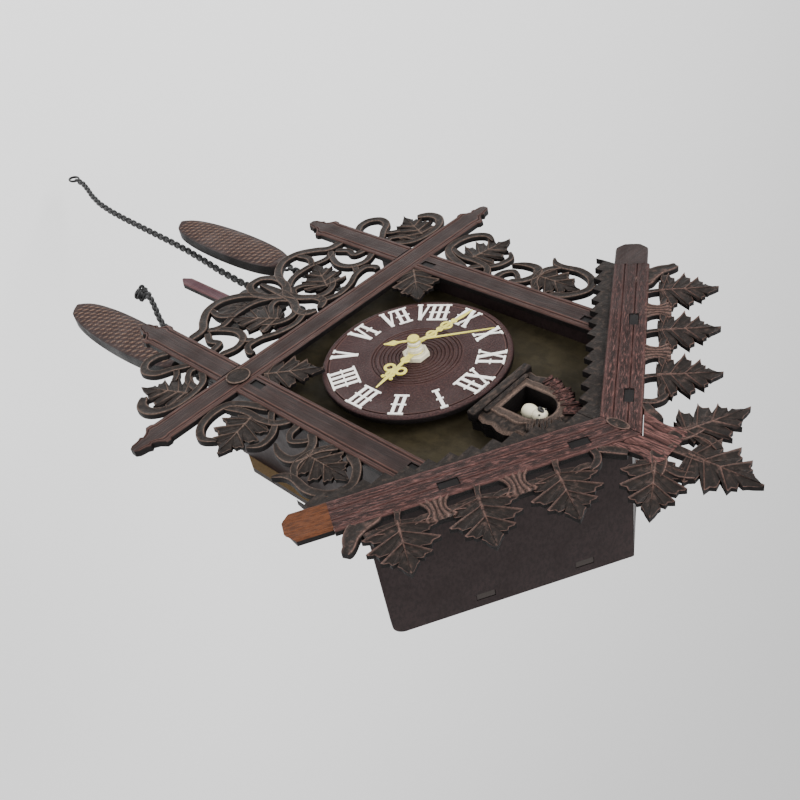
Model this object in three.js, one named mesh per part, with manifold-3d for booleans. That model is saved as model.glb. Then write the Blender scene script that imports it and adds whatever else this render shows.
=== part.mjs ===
// Wall-hung wooden cuckoo clock, laser-cut and carved, with a quartz movement.
// Millimetres, +Z up, +X to the viewer's right, the face looks along -Y.
// The origin is on the wall plane, on the hanger plate just under its keyhole.
// Everything is drawn on the face: x across, v up from the dial's centre, and h forward of the dial's face.

import * as THREE from 'three';
import * as BufferGeometryUtils from 'three/addons/utils/BufferGeometryUtils.js';
import Module from 'manifold-3d';

const wasm = await Module();
wasm.setup();

// ---- driving dimensions ------------------------------------------------------------------------

const SHEET = 3;                  // thickness of the board most pieces are cut from
const GAP = 0.3;                  // room between pieces that meet
const FIT = 0.2;                  // room round a tab or shaft in its hole

const HANG_V = 74;                // height of the hanging point above the dial's centre
const WALL_DEPTH = 58.6;          // dial's face to the wall
const BACK_RECESS = 4.2;          // wall to the back panel, the hanger plate's thickness

const CASE_HALF = 56.5;           // half the width over the side panels
const BACK_HALF = 61;             // half the width of the back panel
const BASE_V = -72;               // top of the base board
const BACK_FOOT_V = -82;          // bottom edge of the back panel
const BACK_CHAMFER = [10, 20];    // chamfer of the back panel's lower corners, across and up

const FRONT_RECESS = 9;           // dial's face to the front board's face
const DIAL_R = 42;                // dial
const DIAL_HOLE_R = 4.6;
const SPACER_R = 27;              // ring that holds the dial off the front board

const PITCH = THREE.MathUtils.degToRad(31);
const RIDGE_V = 108.5;            // top of the roof boards
const ROOF_LENGTH = 101;          // ridge to eave along the slope
const ROOF_SHEET = 3.5;
const ROOF_CORNER_R = 5;

const FASCIA_FRONT = 9.4;         // fascia's face forward of the dial's face
const FASCIA_PEAK_V = 94.7;       // where the fascia's lower edges meet
const FASCIA_WIDTH = 15.5;
const FASCIA_LENGTH = 121.5;
const END_BLOCK = 17;             // plain block at the fascia's end
const LEAF_FIRST = 25;            // leaves along the fascia, from the peak
const LEAF_PITCH = 29.1;
const LEAF_COUNT = 3;
const LEAF_LENGTH = 28;
const LEAF_WIDTH = 27;
const SLOTS_S = [12.3, 61.6];     // roof boards' tabs along the fascia, from the peak
const TAB_LENGTH = 7.5;
const BACK_TABS = [21, 62.4];     // back panel's tabs along the roof boards, from the ridge
const TRIM_DROP = 10;             // stepped trim below the fascia's lower edge
const TRIM_STEP = 7.2;

const VINE_BACK = 0.5;            // back of the beams and vines forward of the dial's face
const BEAM_FRONT = VINE_BACK + SHEET;
const BEAM_X = 56.4;              // centre lines of the upright beams
const BEAM_V = -54.5;             // centre line of the cross beam
const BEAM_HALF = 7;
const BEAM_TOP_V = 60;
const BEAM_FOOT_V = -131.5;       // tip of the upright beams' finials
const CROSS_TIP_X = 113;          // tip of the cross beam's finials
const LAP = SHEET / 2;            // depth of the half laps
const ROSETTE_R = 5.6;
const MORTISE_V = [51.5, -42.5];  // side panels' tabs through the upright beams
const MORTISE_LENGTH = 7;
const VINE_SHY = 0.2;             // vines' face behind the beams' face
const VINE_SHEET = SHEET - VINE_SHY;

const HOUSE_HALF = 17.5;          // cuckoo house
const HOUSE_FOOT_V = 44.6;
const HOUSE_TOP_V = 84;
const HOUSE_FRONT = 1.2;
const ARCH_HALF = 7.7;            // arched opening
const ARCH_SILL_V = 53.8;
const ARCH_SPRING_V = 65.5;

const MOVEMENT = [56, 16, 56];    // quartz movement, width, depth, height
const BUSH_R = 3.9;
const HOUR_H = 3;                 // hands' faces forward of the dial's face
const MINUTE_H = 6.4;
const SECOND_H = 8.6;
const HAND_SHEET = 0.5;
const HOUR_LENGTH = 28;
const MINUTE_LENGTH = 33;
const SECOND_LENGTH = 35;
const TIME_MINUTES = 2 * 60 + 46.5;
const TIME_SECONDS = 52.5;

const PENDULUM_FRONT = -18.5;     // pendulum's face
const PENDULUM_PIVOT_V = -36;
const PENDULUM_TIP_V = -188;
const PENDULUM_HALF = 3.4;
const BOB_V = -124;
const BOB_R = 20;
const SLOT_HALF = 17;             // pendulum slot in the base board

const WEIGHT_X = 47;              // weights hang here
const WEIGHT_FRONT = -23;
const WEIGHT_THICK = 7.5;
const WEIGHT_LENGTH = 101;
const WEIGHT_HALF = 11.8;
const WEIGHT_TOP_V = { left: -156, right: -130 };
const CHAIN_D = 4.5;
const HOOK_WIRE_R = 0.8;
const HOOK_R = 2.6;
const FREE_CHAIN_H = -34;         // free chain ends hang here
const FREE_CHAIN_X = 29;

const GLUE = 0.1;                 // glue line between boards
const TAB_SHY = 0.5;              // how far tabs stop short of the face
const TRIM_REACH = 94;            // half the width of the stepped trim
const ROSETTE_H = 1;
const HATCH_HALF = 31;            // hatch in the back panel behind the movement
const HATCH_V = [-32, 34];
const HANGER = [14, 16, 19];      // hanger plate: half width, down and up from the hanging point
const KEYHOLE_R = 4;
const KEYHOLE_RISE = 8;           // keyhole above the hanging point
const KEYHOLE_SLOT = 2;
const ARM_V = 62;                 // the cuckoo's arm
const ARM_HALF = 1.2;
const ARM_BACK = -28;
const HOUR_TUBE_R = [1.85, 2.5];
const MINUTE_SHAFT_R = 1.6;
const SECOND_SHAFT_R = 0.6;
const CAP_R = 2.5;                // cap over the second hand's hub
const CAP_RISE = 1.4;
const NUT_R = 6;
const NUT_TOP = 2;
const BUSH_TOP = 2.3;
const BATTERY = [7.1, 50];        // radius and length
const BATTERY_V = -17;
const KNOB = [7, 3.6];            // radius and height
const PIVOT_R = 0.9;
const BOB_TEETH = 12;

// ---- colours -----------------------------------------------------------------------------------

const finish = (colour, roughness = 0.7, metalness = 0) =>
  () => new THREE.MeshStandardMaterial({ color: colour, roughness, metalness });
const darkWood = finish(0x3d302f);
const beamWood = finish(0x46383a);
const redWood = finish(0x8a5a55);
const oliveBoard = finish(0x3c3429);
const rawBoard = finish(0x7d6a45);
const dialWood = finish(0x54403f);
const carvedWood = finish(0x3a332f);
const coneWood = finish(0x5a4343);
const paleGold = finish(0xe0d688, 0.4, 0.6);
const ivory = finish(0xe6e2d6, 0.5);
const blackMetal = finish(0x17181a, 0.45, 0.8);
const steel = finish(0x9a9a9a, 0.35, 1);
const brass = finish(0xb08d45, 0.35, 1);
const blackPlastic = finish(0x1b1b1c, 0.5);
const batteryFoil = finish(0x3b5f8a, 0.35, 0.3);

// ---- solids ------------------------------------------------------------------------------------

// Shares a geometry's vertices, drops its empty triangles and turns its faces outwards.
function closed(geometry) {
  const bare = geometry.clone();
  bare.deleteAttribute('normal');
  bare.deleteAttribute('uv');
  const merged = BufferGeometryUtils.mergeVertices(bare, 1e-4);
  const at = merged.attributes.position;
  const corners = [0, 1, 2].map(() => new THREE.Vector3());
  const faces = [];
  let volume = 0;
  for (let i = 0; i < merged.index.count; i += 3) {
    const face = [0, 1, 2].map((k) => merged.index.getX(i + k));
    if (new Set(face).size < 3) continue;
    face.forEach((vertex, k) => corners[k].fromBufferAttribute(at, vertex));
    volume += corners[0].dot(corners[1].clone().cross(corners[2]));
    faces.push(face);
  }
  merged.setIndex(faces.flatMap(([a, b, c]) => (volume < 0 ? [a, c, b] : [a, b, c])));
  return merged;
}

function toSolid(geometry) {
  const { attributes, index } = closed(geometry);
  const triVerts = Uint32Array.from(index.array);
  const vertProperties = attributes.position.array;
  return new wasm.Manifold(new wasm.Mesh({ numProp: 3, vertProperties, triVerts }));
}

function fromSolid(solid) {
  const { vertProperties, triVerts } = solid.getMesh();
  const geometry = new THREE.BufferGeometry();
  geometry.setAttribute('position', new THREE.BufferAttribute(vertProperties, 3));
  geometry.setIndex(new THREE.BufferAttribute(triVerts, 1));
  return geometry;
}

const join = (...pieces) => fromSolid(pieces.map(toSolid).reduce((a, b) => a.add(b)).asOriginal());
const cut = (body, ...tools) => fromSolid(
  tools.map(toSolid).reduce((a, b) => a.subtract(b), toSolid(body)).asOriginal(),
);
const within = (body, room) => fromSolid(toSolid(body).intersect(toSolid(room)).asOriginal());

// A flat piece drawn on the face, from h = back to h = front.
function plate(shape, back, front, curveSegments = 8) {
  const depth = front - back;
  const geometry = new THREE.ExtrudeGeometry(shape, { depth, bevelEnabled: false, curveSegments });
  geometry.rotateX(Math.PI / 2);
  geometry.translate(0, -back, 0);
  return closed(geometry);
}

const outline = (points) => new THREE.Shape(points.map(([x, v]) => new THREE.Vector2(x, v)));
const mirrored = (points) => points.map(([x, v]) => [-x, v]).reverse();
const onSide = (side, points) => (side < 0 ? mirrored(points) : points);
const bothSides = (points) => [...points, ...mirrored(points)];
const oval = (x, v, rx, rv = rx) => new THREE.Shape().absellipse(x, v, rx, rv, 0, 2 * Math.PI);

// A block between two corners given as [x, h, v].
function block([x0, h0, v0], [x1, h1, v1]) {
  const geometry = new THREE.BoxGeometry(Math.abs(x1 - x0), Math.abs(h1 - h0), Math.abs(v1 - v0));
  return geometry.translate((x0 + x1) / 2, -(h0 + h1) / 2, (v0 + v1) / 2);
}

// A disc, or a ring when it has a hole, whose axis points at the viewer.
function disc(x, v, r, back, front, hole = 0, segments = 12) {
  const shape = oval(x, v, r);
  if (hole) shape.holes.push(oval(x, v, hole));
  return plate(shape, back, front, segments);
}

// Turns a flat drawing so that its own up points along the angle, in degrees from +X, and moves it.
function placed(points, x, v, angle) {
  const turn = THREE.MathUtils.degToRad(angle - 90);
  return points.map(([px, py]) => [
    x + px * Math.cos(turn) - py * Math.sin(turn),
    v + px * Math.sin(turn) + py * Math.cos(turn),
  ]);
}

// The right half of a lobed, toothed leaf of unit length and width, stem end first.
const LEAF_HALF = [
  [0.05, 0], [0.22, 0.06], [0.5, 0.19], [0.37, 0.29], [0.44, 0.43], [0.28, 0.47], [0.3, 0.62], [0.16, 0.68],
  [0.14, 0.82], [0, 1],
];

function leaf(length, width) {
  const right = LEAF_HALF.map(([x, y]) => [x * width, y * length]);
  return [...right, ...mirrored(right).slice(1)];
}

// A tapering vine along a smooth curve through the points, which are [x, v, width].
function vine(points, steps = 2) {
  const path = new THREE.CatmullRomCurve3(points.map(([x, v]) => new THREE.Vector3(x, v, 0)));
  const last = points.length - 1;
  const right = [];
  const left = [];
  for (let i = 0; i <= last * steps; i += 1) {
    const low = Math.min(Math.floor(i / steps), last - 1);
    const half = THREE.MathUtils.lerp(points[low][2], points[low + 1][2], i / steps - low) / 2;
    const centre = path.getPoint(i / (last * steps));
    const along = path.getTangent(i / (last * steps));
    right.push([centre.x + along.y * half, centre.y - along.x * half]);
    left.unshift([centre.x - along.y * half, centre.y + along.x * half]);
  }
  return [...right, ...left];
}

// A wire ring whose axis points at the viewer or, when turned, across.
function wireRing(x, h, v, r, wire, across = false) {
  const geometry = new THREE.TorusGeometry(r, wire, 5, 12);
  geometry.rotateX(Math.PI / 2);
  if (across) geometry.rotateZ(Math.PI / 2);
  return geometry.translate(x, -h, v);
}

// An upright rod between two heights.
function uprightRod(x, h, low, high, r, sides = 8) {
  const geometry = new THREE.CylinderGeometry(r, r, high - low, sides);
  geometry.rotateX(Math.PI / 2);
  return geometry.translate(x, -h, (low + high) / 2);
}

const slope = Math.tan(PITCH);
const along = Math.cos(PITCH);
const rise = Math.sin(PITCH);

// ---- case --------------------------------------------------------------------------------------

const FRONT_BOARD_BACK = -FRONT_RECESS - SHEET;
const BACK_FACE = -(WALL_DEPTH - BACK_RECESS);
const BACK_FRONT = BACK_FACE + SHEET;
const FASCIA_BACK = FASCIA_FRONT - SHEET;
const CASE_INNER = CASE_HALF - SHEET;
const ROOF_DROP = ROOF_SHEET / along;
const FASCIA_SHIFT = (RIDGE_V - FASCIA_PEAK_V) * rise;

// Height under the roof boards, less the gap.
const underRoof = (x) => RIDGE_V - ROOF_DROP - GAP / along - Math.abs(x) * slope;

function backPanel() {
  const [across, up] = BACK_CHAMFER;
  const tabs = BACK_TABS.flatMap((a) => {
    const ends = [a - TAB_LENGTH / 2, a + TAB_LENGTH / 2].map((s) => s * along - (ROOF_SHEET + GAP) * rise);
    const height = (ROOF_SHEET + GAP - FIT) / along;
    return [[ends[0], 0], [ends[0], height], [ends[1], height], [ends[1], 0]]
      .map(([x, lift]) => [x + lift * rise * along, underRoof(x) + lift * along * along]);
  });
  const half = [
    [0, underRoof(0)], ...tabs, [BACK_HALF, underRoof(BACK_HALF)],
    [BACK_HALF, BACK_FOOT_V + up], [BACK_HALF - across, BACK_FOOT_V],
  ];
  const hole = block([-HATCH_HALF, BACK_FACE - 1, HATCH_V[0]], [HATCH_HALF, BACK_FRONT + 1, HATCH_V[1]]);
  const board = plate(outline([...half, ...mirrored(half.slice(1))]), BACK_FACE, BACK_FRONT);
  return cut(board, hole, keyhole(BACK_FACE));
}

// The keyhole that the clock hangs from.
function keyhole(back) {
  const top = HANG_V + KEYHOLE_RISE;
  const depth = BACK_FRONT + 1;
  return join(disc(0, top, KEYHOLE_R, back - 1, depth, 0, 8),
    block([-KEYHOLE_SLOT, back - 1, top], [KEYHOLE_SLOT, depth, top + 2.4 * KEYHOLE_R]));
}

function hangerPlate() {
  const [half, down, up] = HANGER;
  const body = block([-half, -WALL_DEPTH, HANG_V - down], [half, BACK_FACE - GLUE, HANG_V + up]);
  return cut(body, keyhole(-WALL_DEPTH));
}

// The hole in an upright beam for a side panel's tab.
function mortise(side, v) {
  const span = [side * (CASE_INNER - FIT), side * (CASE_HALF + FIT)].sort((a, b) => a - b);
  const half = MORTISE_LENGTH / 2 + FIT;
  return block([span[0], VINE_BACK - 1, v - half], [span[1], BEAM_FRONT + 1, v + half]);
}

// Side panels are drawn flat as [h, v]; their tabs pass through the upright beams.
function sidePanel(side) {
  const front = VINE_BACK - GLUE;
  const half = MORTISE_LENGTH / 2;
  const reach = BEAM_FRONT - TAB_SHY;
  const tabs = [...MORTISE_V].sort((a, b) => a - b).flatMap((v) => [
    [front, v - half], [reach, v - half], [reach, v + half], [front, v + half],
  ]);
  const top = underRoof(CASE_HALF);
  const foot = BASE_V - SHEET;
  const points = [[BACK_FRONT + GLUE, foot], [front, foot], ...tabs, [front, top], [BACK_FRONT + GLUE, top]];
  const shape = outline(points.map(([h, v]) => [-h, v]));
  const geometry = new THREE.ExtrudeGeometry(shape, { depth: SHEET, bevelEnabled: false });
  geometry.applyMatrix4(new THREE.Matrix4().makeBasis(
    new THREE.Vector3(0, 1, 0), new THREE.Vector3(0, 0, 1), new THREE.Vector3(1, 0, 0),
  ));
  return closed(geometry).translate(side > 0 ? CASE_INNER : -CASE_HALF, 0, 0);
}

function frontBoard() {
  const half = CASE_INNER - GLUE;
  const shape = outline(bothSides([[half, BASE_V + GLUE], [half, underRoof(half)], [0.01, underRoof(0)]]));
  const board = plate(shape, FRONT_BOARD_BACK, -FRONT_RECESS);
  const reach = ARM_HALF + 1;
  return cut(board, disc(0, 0, BUSH_R + FIT, FRONT_BOARD_BACK - 1, -FRONT_RECESS + 1),
    block([-reach, FRONT_BOARD_BACK - 1, ARM_V - reach], [reach, 0, ARM_V + reach]));
}

function baseBoard() {
  const half = CASE_INNER - GLUE;
  const board = block([-half, BACK_FRONT + GLUE, BASE_V - SHEET], [half, -FRONT_RECESS, BASE_V]);
  const middle = PENDULUM_FRONT - SHEET / 2;
  const slot = block([-SLOT_HALF, middle - 5, BASE_V - 5], [SLOT_HALF, middle + 5, BASE_V + 5]);
  const holes = HOOKS.map(([x, h]) => uprightRod(x, h, BASE_V - SHEET - 1, BASE_V + 1, HOOK_WIRE_R + FIT));
  return cut(board, slot, ...holes);
}

// A roof board drawn flat: a runs down the slope from the ridge, h towards the viewer.
function roofBoard(side) {
  const front = FASCIA_BACK - GLUE;
  const r = ROOF_CORNER_R;
  const shape = new THREE.Shape();
  shape.moveTo(-ROOF_SHEET, front);
  for (const s of SLOTS_S) {
    const a = s + FASCIA_SHIFT;
    shape.lineTo(a - TAB_LENGTH / 2, front);
    shape.lineTo(a - TAB_LENGTH / 2, FASCIA_FRONT - TAB_SHY);
    shape.lineTo(a + TAB_LENGTH / 2, FASCIA_FRONT - TAB_SHY);
    shape.lineTo(a + TAB_LENGTH / 2, front);
  }
  shape.lineTo(ROOF_LENGTH, front);
  shape.lineTo(ROOF_LENGTH, -WALL_DEPTH + r);
  shape.absarc(ROOF_LENGTH - r, -WALL_DEPTH + r, r, 0, -Math.PI / 2, true);
  shape.lineTo(-ROOF_SHEET, -WALL_DEPTH);
  const options = { depth: ROOF_SHEET, bevelEnabled: false, curveSegments: 5 };
  const flat = new THREE.ExtrudeGeometry(shape, options);
  flat.translate(0, 0, -ROOF_SHEET);
  const slots = BACK_TABS.map((a) => {
    const box = new THREE.BoxGeometry(TAB_LENGTH + 2 * FIT, SHEET + 2 * FIT, 3 * ROOF_SHEET);
    return box.translate(a, (BACK_FACE + BACK_FRONT) / 2, 0);
  });
  const geometry = cut(flat, ...slots);
  const basis = new THREE.Matrix4().makeBasis(
    new THREE.Vector3(along, 0, -rise), new THREE.Vector3(0, -1, 0), new THREE.Vector3(rise, 0, along),
  );
  geometry.applyMatrix4(basis).translate(0, 0, RIDGE_V);
  if (side < 0) geometry.scale(-1, 1, 1);
  const across = [side * GAP / 2, -side * 60].sort((a, b) => a - b);
  return cut(geometry, block([across[0], -WALL_DEPTH - 1, 0], [across[1], FASCIA_FRONT + 1, RIDGE_V + 20]));
}

// ---- fascia and crown --------------------------------------------------------------------------

// Fascia drawings run s down the slope from the peak and n square to it, up from the lower edge.
const onFascia = (side, points) => onSide(side, points.map(([s, n]) => [
  s * along + n * rise, FASCIA_PEAK_V - s * rise + n * along,
]));

function fasciaLeaves(side) {
  const top = FASCIA_WIDTH;
  const pieces = [];
  for (let i = 0; i < LEAF_COUNT; i += 1) {
    const s = LEAF_FIRST + i * LEAF_PITCH;
    const low = s - LEAF_WIDTH / 2;
    const high = s + LEAF_WIDTH / 2;
    pieces.push(placed(leaf(LEAF_LENGTH, LEAF_WIDTH), s, top + 0.6, 86));
    pieces.push(vine([[s - 1, top - 2, 5], [s, top + 3, 3.6], [s + 0.4, top + 8, 3]]));
    pieces.push(vine([[low + 3.4, top + 7, 3.4], [low - 0.4, top + 4.4, 3.4], [low - 1, top - 2, 4]], 3));
    pieces.push(vine([[high - 3.4, top + 7, 3.4], [high + 0.2, top + 4.6, 3.6], [high + 1, top - 2, 4]], 3));
  }
  const end = LEAF_FIRST + (LEAF_COUNT - 0.5) * LEAF_PITCH;
  pieces.push(vine([[end - 2, top + 4, 3.6], [end + 3.4, top + 8, 4.4], [end + 6, top + 10.4, 3]]));
  return pieces.map((points) => plate(outline(onFascia(side, points)), FASCIA_BACK, FASCIA_FRONT));
}

function fascia(side) {
  const L = FASCIA_LENGTH;
  const W = FASCIA_WIDTH;
  const notch = L - END_BLOCK;
  const board = plate(outline(onFascia(side, [
    [-W, 0], [L - 3.4, 0], [L, 4.4], [L, W - 5], [L - 3.6, W - 1], [notch, W - 1], [notch - 3, W], [-W, W],
  ])), FASCIA_BACK, FASCIA_FRONT);
  const slots = SLOTS_S.map((s) => {
    const [s0, s1] = [s - TAB_LENGTH / 2 - FIT, s + TAB_LENGTH / 2 + FIT];
    const n1 = (RIDGE_V - FASCIA_PEAK_V) * along + FIT;
    const n0 = n1 - ROOF_SHEET - 2 * FIT;
    const corners = [[s0, n0], [s1, n0], [s1, n1], [s0, n1]];
    return plate(outline(onFascia(side, corners)), FASCIA_BACK - 1, FASCIA_FRONT + 1);
  });
  const across = [side * GAP / 2, -side * 60].sort((a, b) => a - b);
  const otherHalf = block([across[0], FASCIA_BACK - 1, 0], [across[1], FASCIA_FRONT + 1, RIDGE_V + 40]);
  return cut(join(board, ...fasciaLeaves(side)), ...slots, otherHalf);
}

const CROWN_LEAF_UP = [0, 131, 90, 27.5, 26];
const CROWN_LEAF_SIDE = [8.5, 123.5, 28, 27.5, 23];

function crown() {
  const foot = FASCIA_PEAK_V + (FASCIA_WIDTH + GAP) / along;
  const neck = outline(bothSides([
    [0.01, foot], [12, foot - 12 * slope], [12.4, foot - 5], [10.4, foot - 1.4], [9.4, foot + 2],
    [10.2, foot + 7], [12.6, foot + 10], [8, foot + 13],
  ]));
  const leaves = [placed(leaf(CROWN_LEAF_UP[3], CROWN_LEAF_UP[4]), ...CROWN_LEAF_UP)];
  const stems = [vine([[0, foot + 6, 7], [0, foot + 14, 4.6], [0, foot + 24, 3.6]], 3)];
  for (const side of [1, -1]) {
    leaves.push(onSide(side, placed(leaf(CROWN_LEAF_SIDE[3], CROWN_LEAF_SIDE[4]), ...CROWN_LEAF_SIDE)));
    stems.push(onSide(side, vine([[4, foot + 8, 6], [9, foot + 12, 6], [15, foot + 15, 4]], 3)));
    stems.push(onSide(side, vine([[9.6, foot + 14, 3], [10.4, foot + 20, 3], [8, foot + 25, 4]], 3)));
  }
  const shapes = [neck, ...leaves.map(outline), ...stems.map(outline)];
  return join(...shapes.map((shape) => plate(shape, FASCIA_BACK, FASCIA_FRONT)));
}

// Stepped trim board under the eaves.
function steppedTrim(side) {
  const under = (RIDGE_V - FASCIA_PEAK_V) - ROOF_DROP - GAP;
  const start = FASCIA_PEAK_V - TRIM_DROP;
  const points = [[GAP / 2, FASCIA_PEAK_V + under], [GAP / 2, start]];
  for (let x = TRIM_STEP; x < TRIM_REACH; x += TRIM_STEP) {
    points.push([x, start - (x - TRIM_STEP) * slope], [x, start - x * slope]);
  }
  const fall = TRIM_REACH * slope;
  points.push([TRIM_REACH, start - fall + TRIM_STEP / 2], [TRIM_REACH, FASCIA_PEAK_V + under - fall]);
  return plate(outline(onSide(side, points)), BEAM_FRONT + GLUE, FASCIA_BACK - GLUE);
}

// ---- beams -------------------------------------------------------------------------------------

// A finial's half width, as a share of the beam's, against the distance from its shoulder.
const FINIAL_PROFILE = [
  [0, 1.15], [2.2, 1.15], [4.2, 0.72], [6.4, 0.5], [7.6, 0.66], [9.2, 0.5], [12.4, 0.42], [14, 0.22],
];
const FINIAL = FINIAL_PROFILE[FINIAL_PROFILE.length - 1][0];

function uprightBeam(side) {
  const shoulder = BEAM_FOOT_V + FINIAL;
  const foot = FINIAL_PROFILE.map(([d, w]) => [w * BEAM_HALF, shoulder - d]).reverse();
  const half = [...foot, [BEAM_HALF, shoulder + 1.2], [BEAM_HALF, BEAM_TOP_V]];
  const shape = outline(bothSides(half).map(([x, v]) => [x + side * BEAM_X, v]));
  const lap = block(
    [side * BEAM_X - 2 * BEAM_HALF, BEAM_FRONT - LAP - FIT / 2, BEAM_V - BEAM_HALF - FIT],
    [side * BEAM_X + 2 * BEAM_HALF, BEAM_FRONT + 1, BEAM_V + BEAM_HALF + FIT],
  );
  return cut(plate(shape, VINE_BACK, BEAM_FRONT), lap, ...MORTISE_V.map((v) => mortise(side, v)));
}

function crossBeam() {
  const shoulder = CROSS_TIP_X - FINIAL;
  const tip = FINIAL_PROFILE.map(([d, w]) => [shoulder + d, w * BEAM_HALF]).reverse();
  const right = [...tip, [shoulder - 1.2, BEAM_HALF]];
  const upper = bothSides(right);
  const whole = [...upper, ...upper.map(([x, w]) => [x, -w]).reverse()];
  const laps = [1, -1].map((side) => block(
    [side * BEAM_X - BEAM_HALF - FIT, VINE_BACK - 1, BEAM_V - 2 * BEAM_HALF],
    [side * BEAM_X + BEAM_HALF + FIT, BEAM_FRONT - LAP + FIT / 2, BEAM_V + 2 * BEAM_HALF],
  ));
  return cut(plate(outline(whole.map(([x, w]) => [x, BEAM_V + w])), VINE_BACK, BEAM_FRONT), ...laps);
}

// ---- vine ornaments, drawn for the right-hand side ---------------------------------------------

const OUTER = BEAM_X + BEAM_HALF + FIT;
const INNER = BEAM_X - BEAM_HALF - FIT;
const OVER = BEAM_V + BEAM_HALF + FIT;
const UNDER = BEAM_V - BEAM_HALF - FIT;

const UPPER = {
  vines: [
    [[OUTER, 24, 5], [67, 32, 4], [75, 37, 4], [82.5, 33.5, 4], [86, 25, 4], [85, 16, 3.6], [86, 11, 3],
      [89.5, 7.5, 1]],
    [[OUTER, 17, 4], [68, 12, 3.4], [74, 9.8, 3.4], [80, 10.6, 3.4], [85, 16, 3]],
    [[OUTER, 1, 4], [67, 6.5, 4], [73, 9, 4.4], [78.5, 6, 4.4], [78.5, -1, 3.4], [75.5, -7, 1.2]],
    [[OUTER, -7, 4], [68, -6, 3.2], [71, -2.4, 2.8], [69.2, 1.4, 2.6], [66, 4.4, 2.4]],
  ],
  leaves: [[73, 9.5, 90, 24.5, 20]],
};
const LOWER = {
  vines: [
    [[OUTER, -26, 4], [66, -36, 4], [71, -43.6, 4], [79, -45, 4], [87, -42, 4], [91, -35.5, 3.6],
      [88.5, -29, 2]],
    [[OUTER, -12, 4], [67.5, -16, 3.4], [69.5, -24, 3.6], [69.6, -33, 3.6], [73, -43, 3]],
    [[67.5, -16, 3], [73, -12, 3.4], [79.5, -11, 3.2], [84, -15, 1.4]],
    [[OUTER, -24, 3.4], [66.5, -20, 3], [68.6, -17, 3]],
  ],
  leaves: [[70.5, -28, 14, 23.5, 25]],
};
const OUTSIDE = {
  vines: [
    [[OUTER, -74, 3.4], [67.5, -67, 3.6], [76, -64, 3.6], [86, -64.6, 4], [93, -70, 5], [93.5, -77, 5],
      [89, -82, 4]],
    [[OUTER, -83, 3.6], [69, -88, 3.8], [75.5, -92, 4.2], [77.5, -98.5, 4.2], [73.5, -103.5, 4.2],
      [67.5, -103.8, 4], [OUTER, -101, 4]],
    [[72, -65, 4], [70.4, -74, 3.4], [66, -79, 3], [OUTER, -79, 3.4]],
    [[68, -87, 3], [70.5, -83, 3], [74, -80, 3]],
  ],
  leaves: [[76, -66, -67, 25, 23]],
};
const CENTRE = {
  vines: [
    [[1, UNDER - 2.2, 4], [6, -67, 4.4], [6, -73, 4.4], [2, -80, 4.6], [0, -90, 5]],
    [[0, -87, 6], [6.4, -96, 4.4], [7.4, -105, 4], [4, -111.5, 4], [-1, -113, 4]],
    [[1.6, -82, 3.6], [4.4, -75, 3.6], [11, -71, 3.6], [18, -73, 3.4], [23, -79, 3]],
    [[1.4, -82, 3.6], [5, -88, 3.4], [10.4, -87, 3.2], [15, -81, 3]],
    [[5, -68, 3.6], [14, -64.4, 3.4], [23, -66, 3.4], [31, -70, 3.4], [38, -70.6, 3.4], [41, -66.5, 3.4],
      [40.5, -63.8, 3.6]],
    [[INNER, -77, 4], [42, -74.6, 3.6], [35.4, -78, 3.8], [33.4, -85, 3.8], [36.4, -93, 3.6],
      [40.5, -99, 3.6]],
    [[INNER, -83, 4], [44.4, -85, 3.4], [45.6, -90.5, 3.6], [42.4, -97, 3.6]],
    [[4, -92, 4], [13, -97.4, 3.4], [24, -98, 3.4], [34, -95.4, 3.4], [41, -98, 3.6]],
    [[6, -97, 4.4], [11.6, -107.6, 4.4], [20.4, -114, 4.4], [29.6, -113.4, 4.6], [37, -107.4, 4.6],
      [42, -101.6, 4.6], [INNER, -100.6, 5]],
    [[25.6, -97, 3.4], [29.8, -103.6, 3.4], [28.6, -112, 3.4]],
    [[33.6, -72, 3.4], [35.6, -75, 3.4], [37, -78, 3.4]],
  ],
  leaves: [[15.5, -74, -62, 27, 22]],
};
const CORNER = { vines: [], leaves: [[48.4, -46.6, 132, 27, 24]] };
const CENTRE_RIB = [[0, -86, 6], [0, -96, 4.6], [0, -108, 2.4]];

function ornament(drawing, side) {
  const flat = [
    ...drawing.vines.map((points) => vine(points)),
    ...drawing.leaves.map(([x, v, angle, length, width]) => placed(leaf(length, width), x, v, angle)),
  ];
  const front = VINE_BACK + VINE_SHEET;
  return join(...flat.map((points) => plate(outline(onSide(side, points)), VINE_BACK, front)));
}

// Trims an ornament to the room that the beams leave it.
function sideOrnament(drawing, side, low, high) {
  const reach = CROSS_TIP_X;
  const across = [side * OUTER, side * reach].sort((a, b) => a - b);
  const room = block([across[0], VINE_BACK - 1, low], [across[1], BEAM_FRONT, high]);
  return within(ornament(drawing, side), room);
}

function centreOrnament() {
  const rib = plate(outline(vine(CENTRE_RIB, 2)), VINE_BACK, VINE_BACK + VINE_SHEET);
  const whole = join(ornament(CENTRE, 1), ornament(CENTRE, -1), rib);
  return within(whole, block([-INNER, VINE_BACK - 1, BEAM_FOOT_V], [INNER, BEAM_FRONT, UNDER]));
}

function cornerLeaf(side) {
  const across = [0, side * INNER].sort((a, b) => a - b);
  const room = block([across[0], VINE_BACK - 1, OVER], [across[1], BEAM_FRONT, 0]);
  return within(ornament(CORNER, side), room);
}

// ---- dial and hands ----------------------------------------------------------------------------

const angleOf = (turns) => 90 - 360 * turns;
const handAngles = {
  hour: angleOf(TIME_MINUTES / 720), minute: angleOf(TIME_MINUTES / 60), second: angleOf(TIME_SECONDS / 60),
};

function spreadOf(shape, height) {
  return plate(shape, height - HAND_SHEET, height, 5);
}

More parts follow.
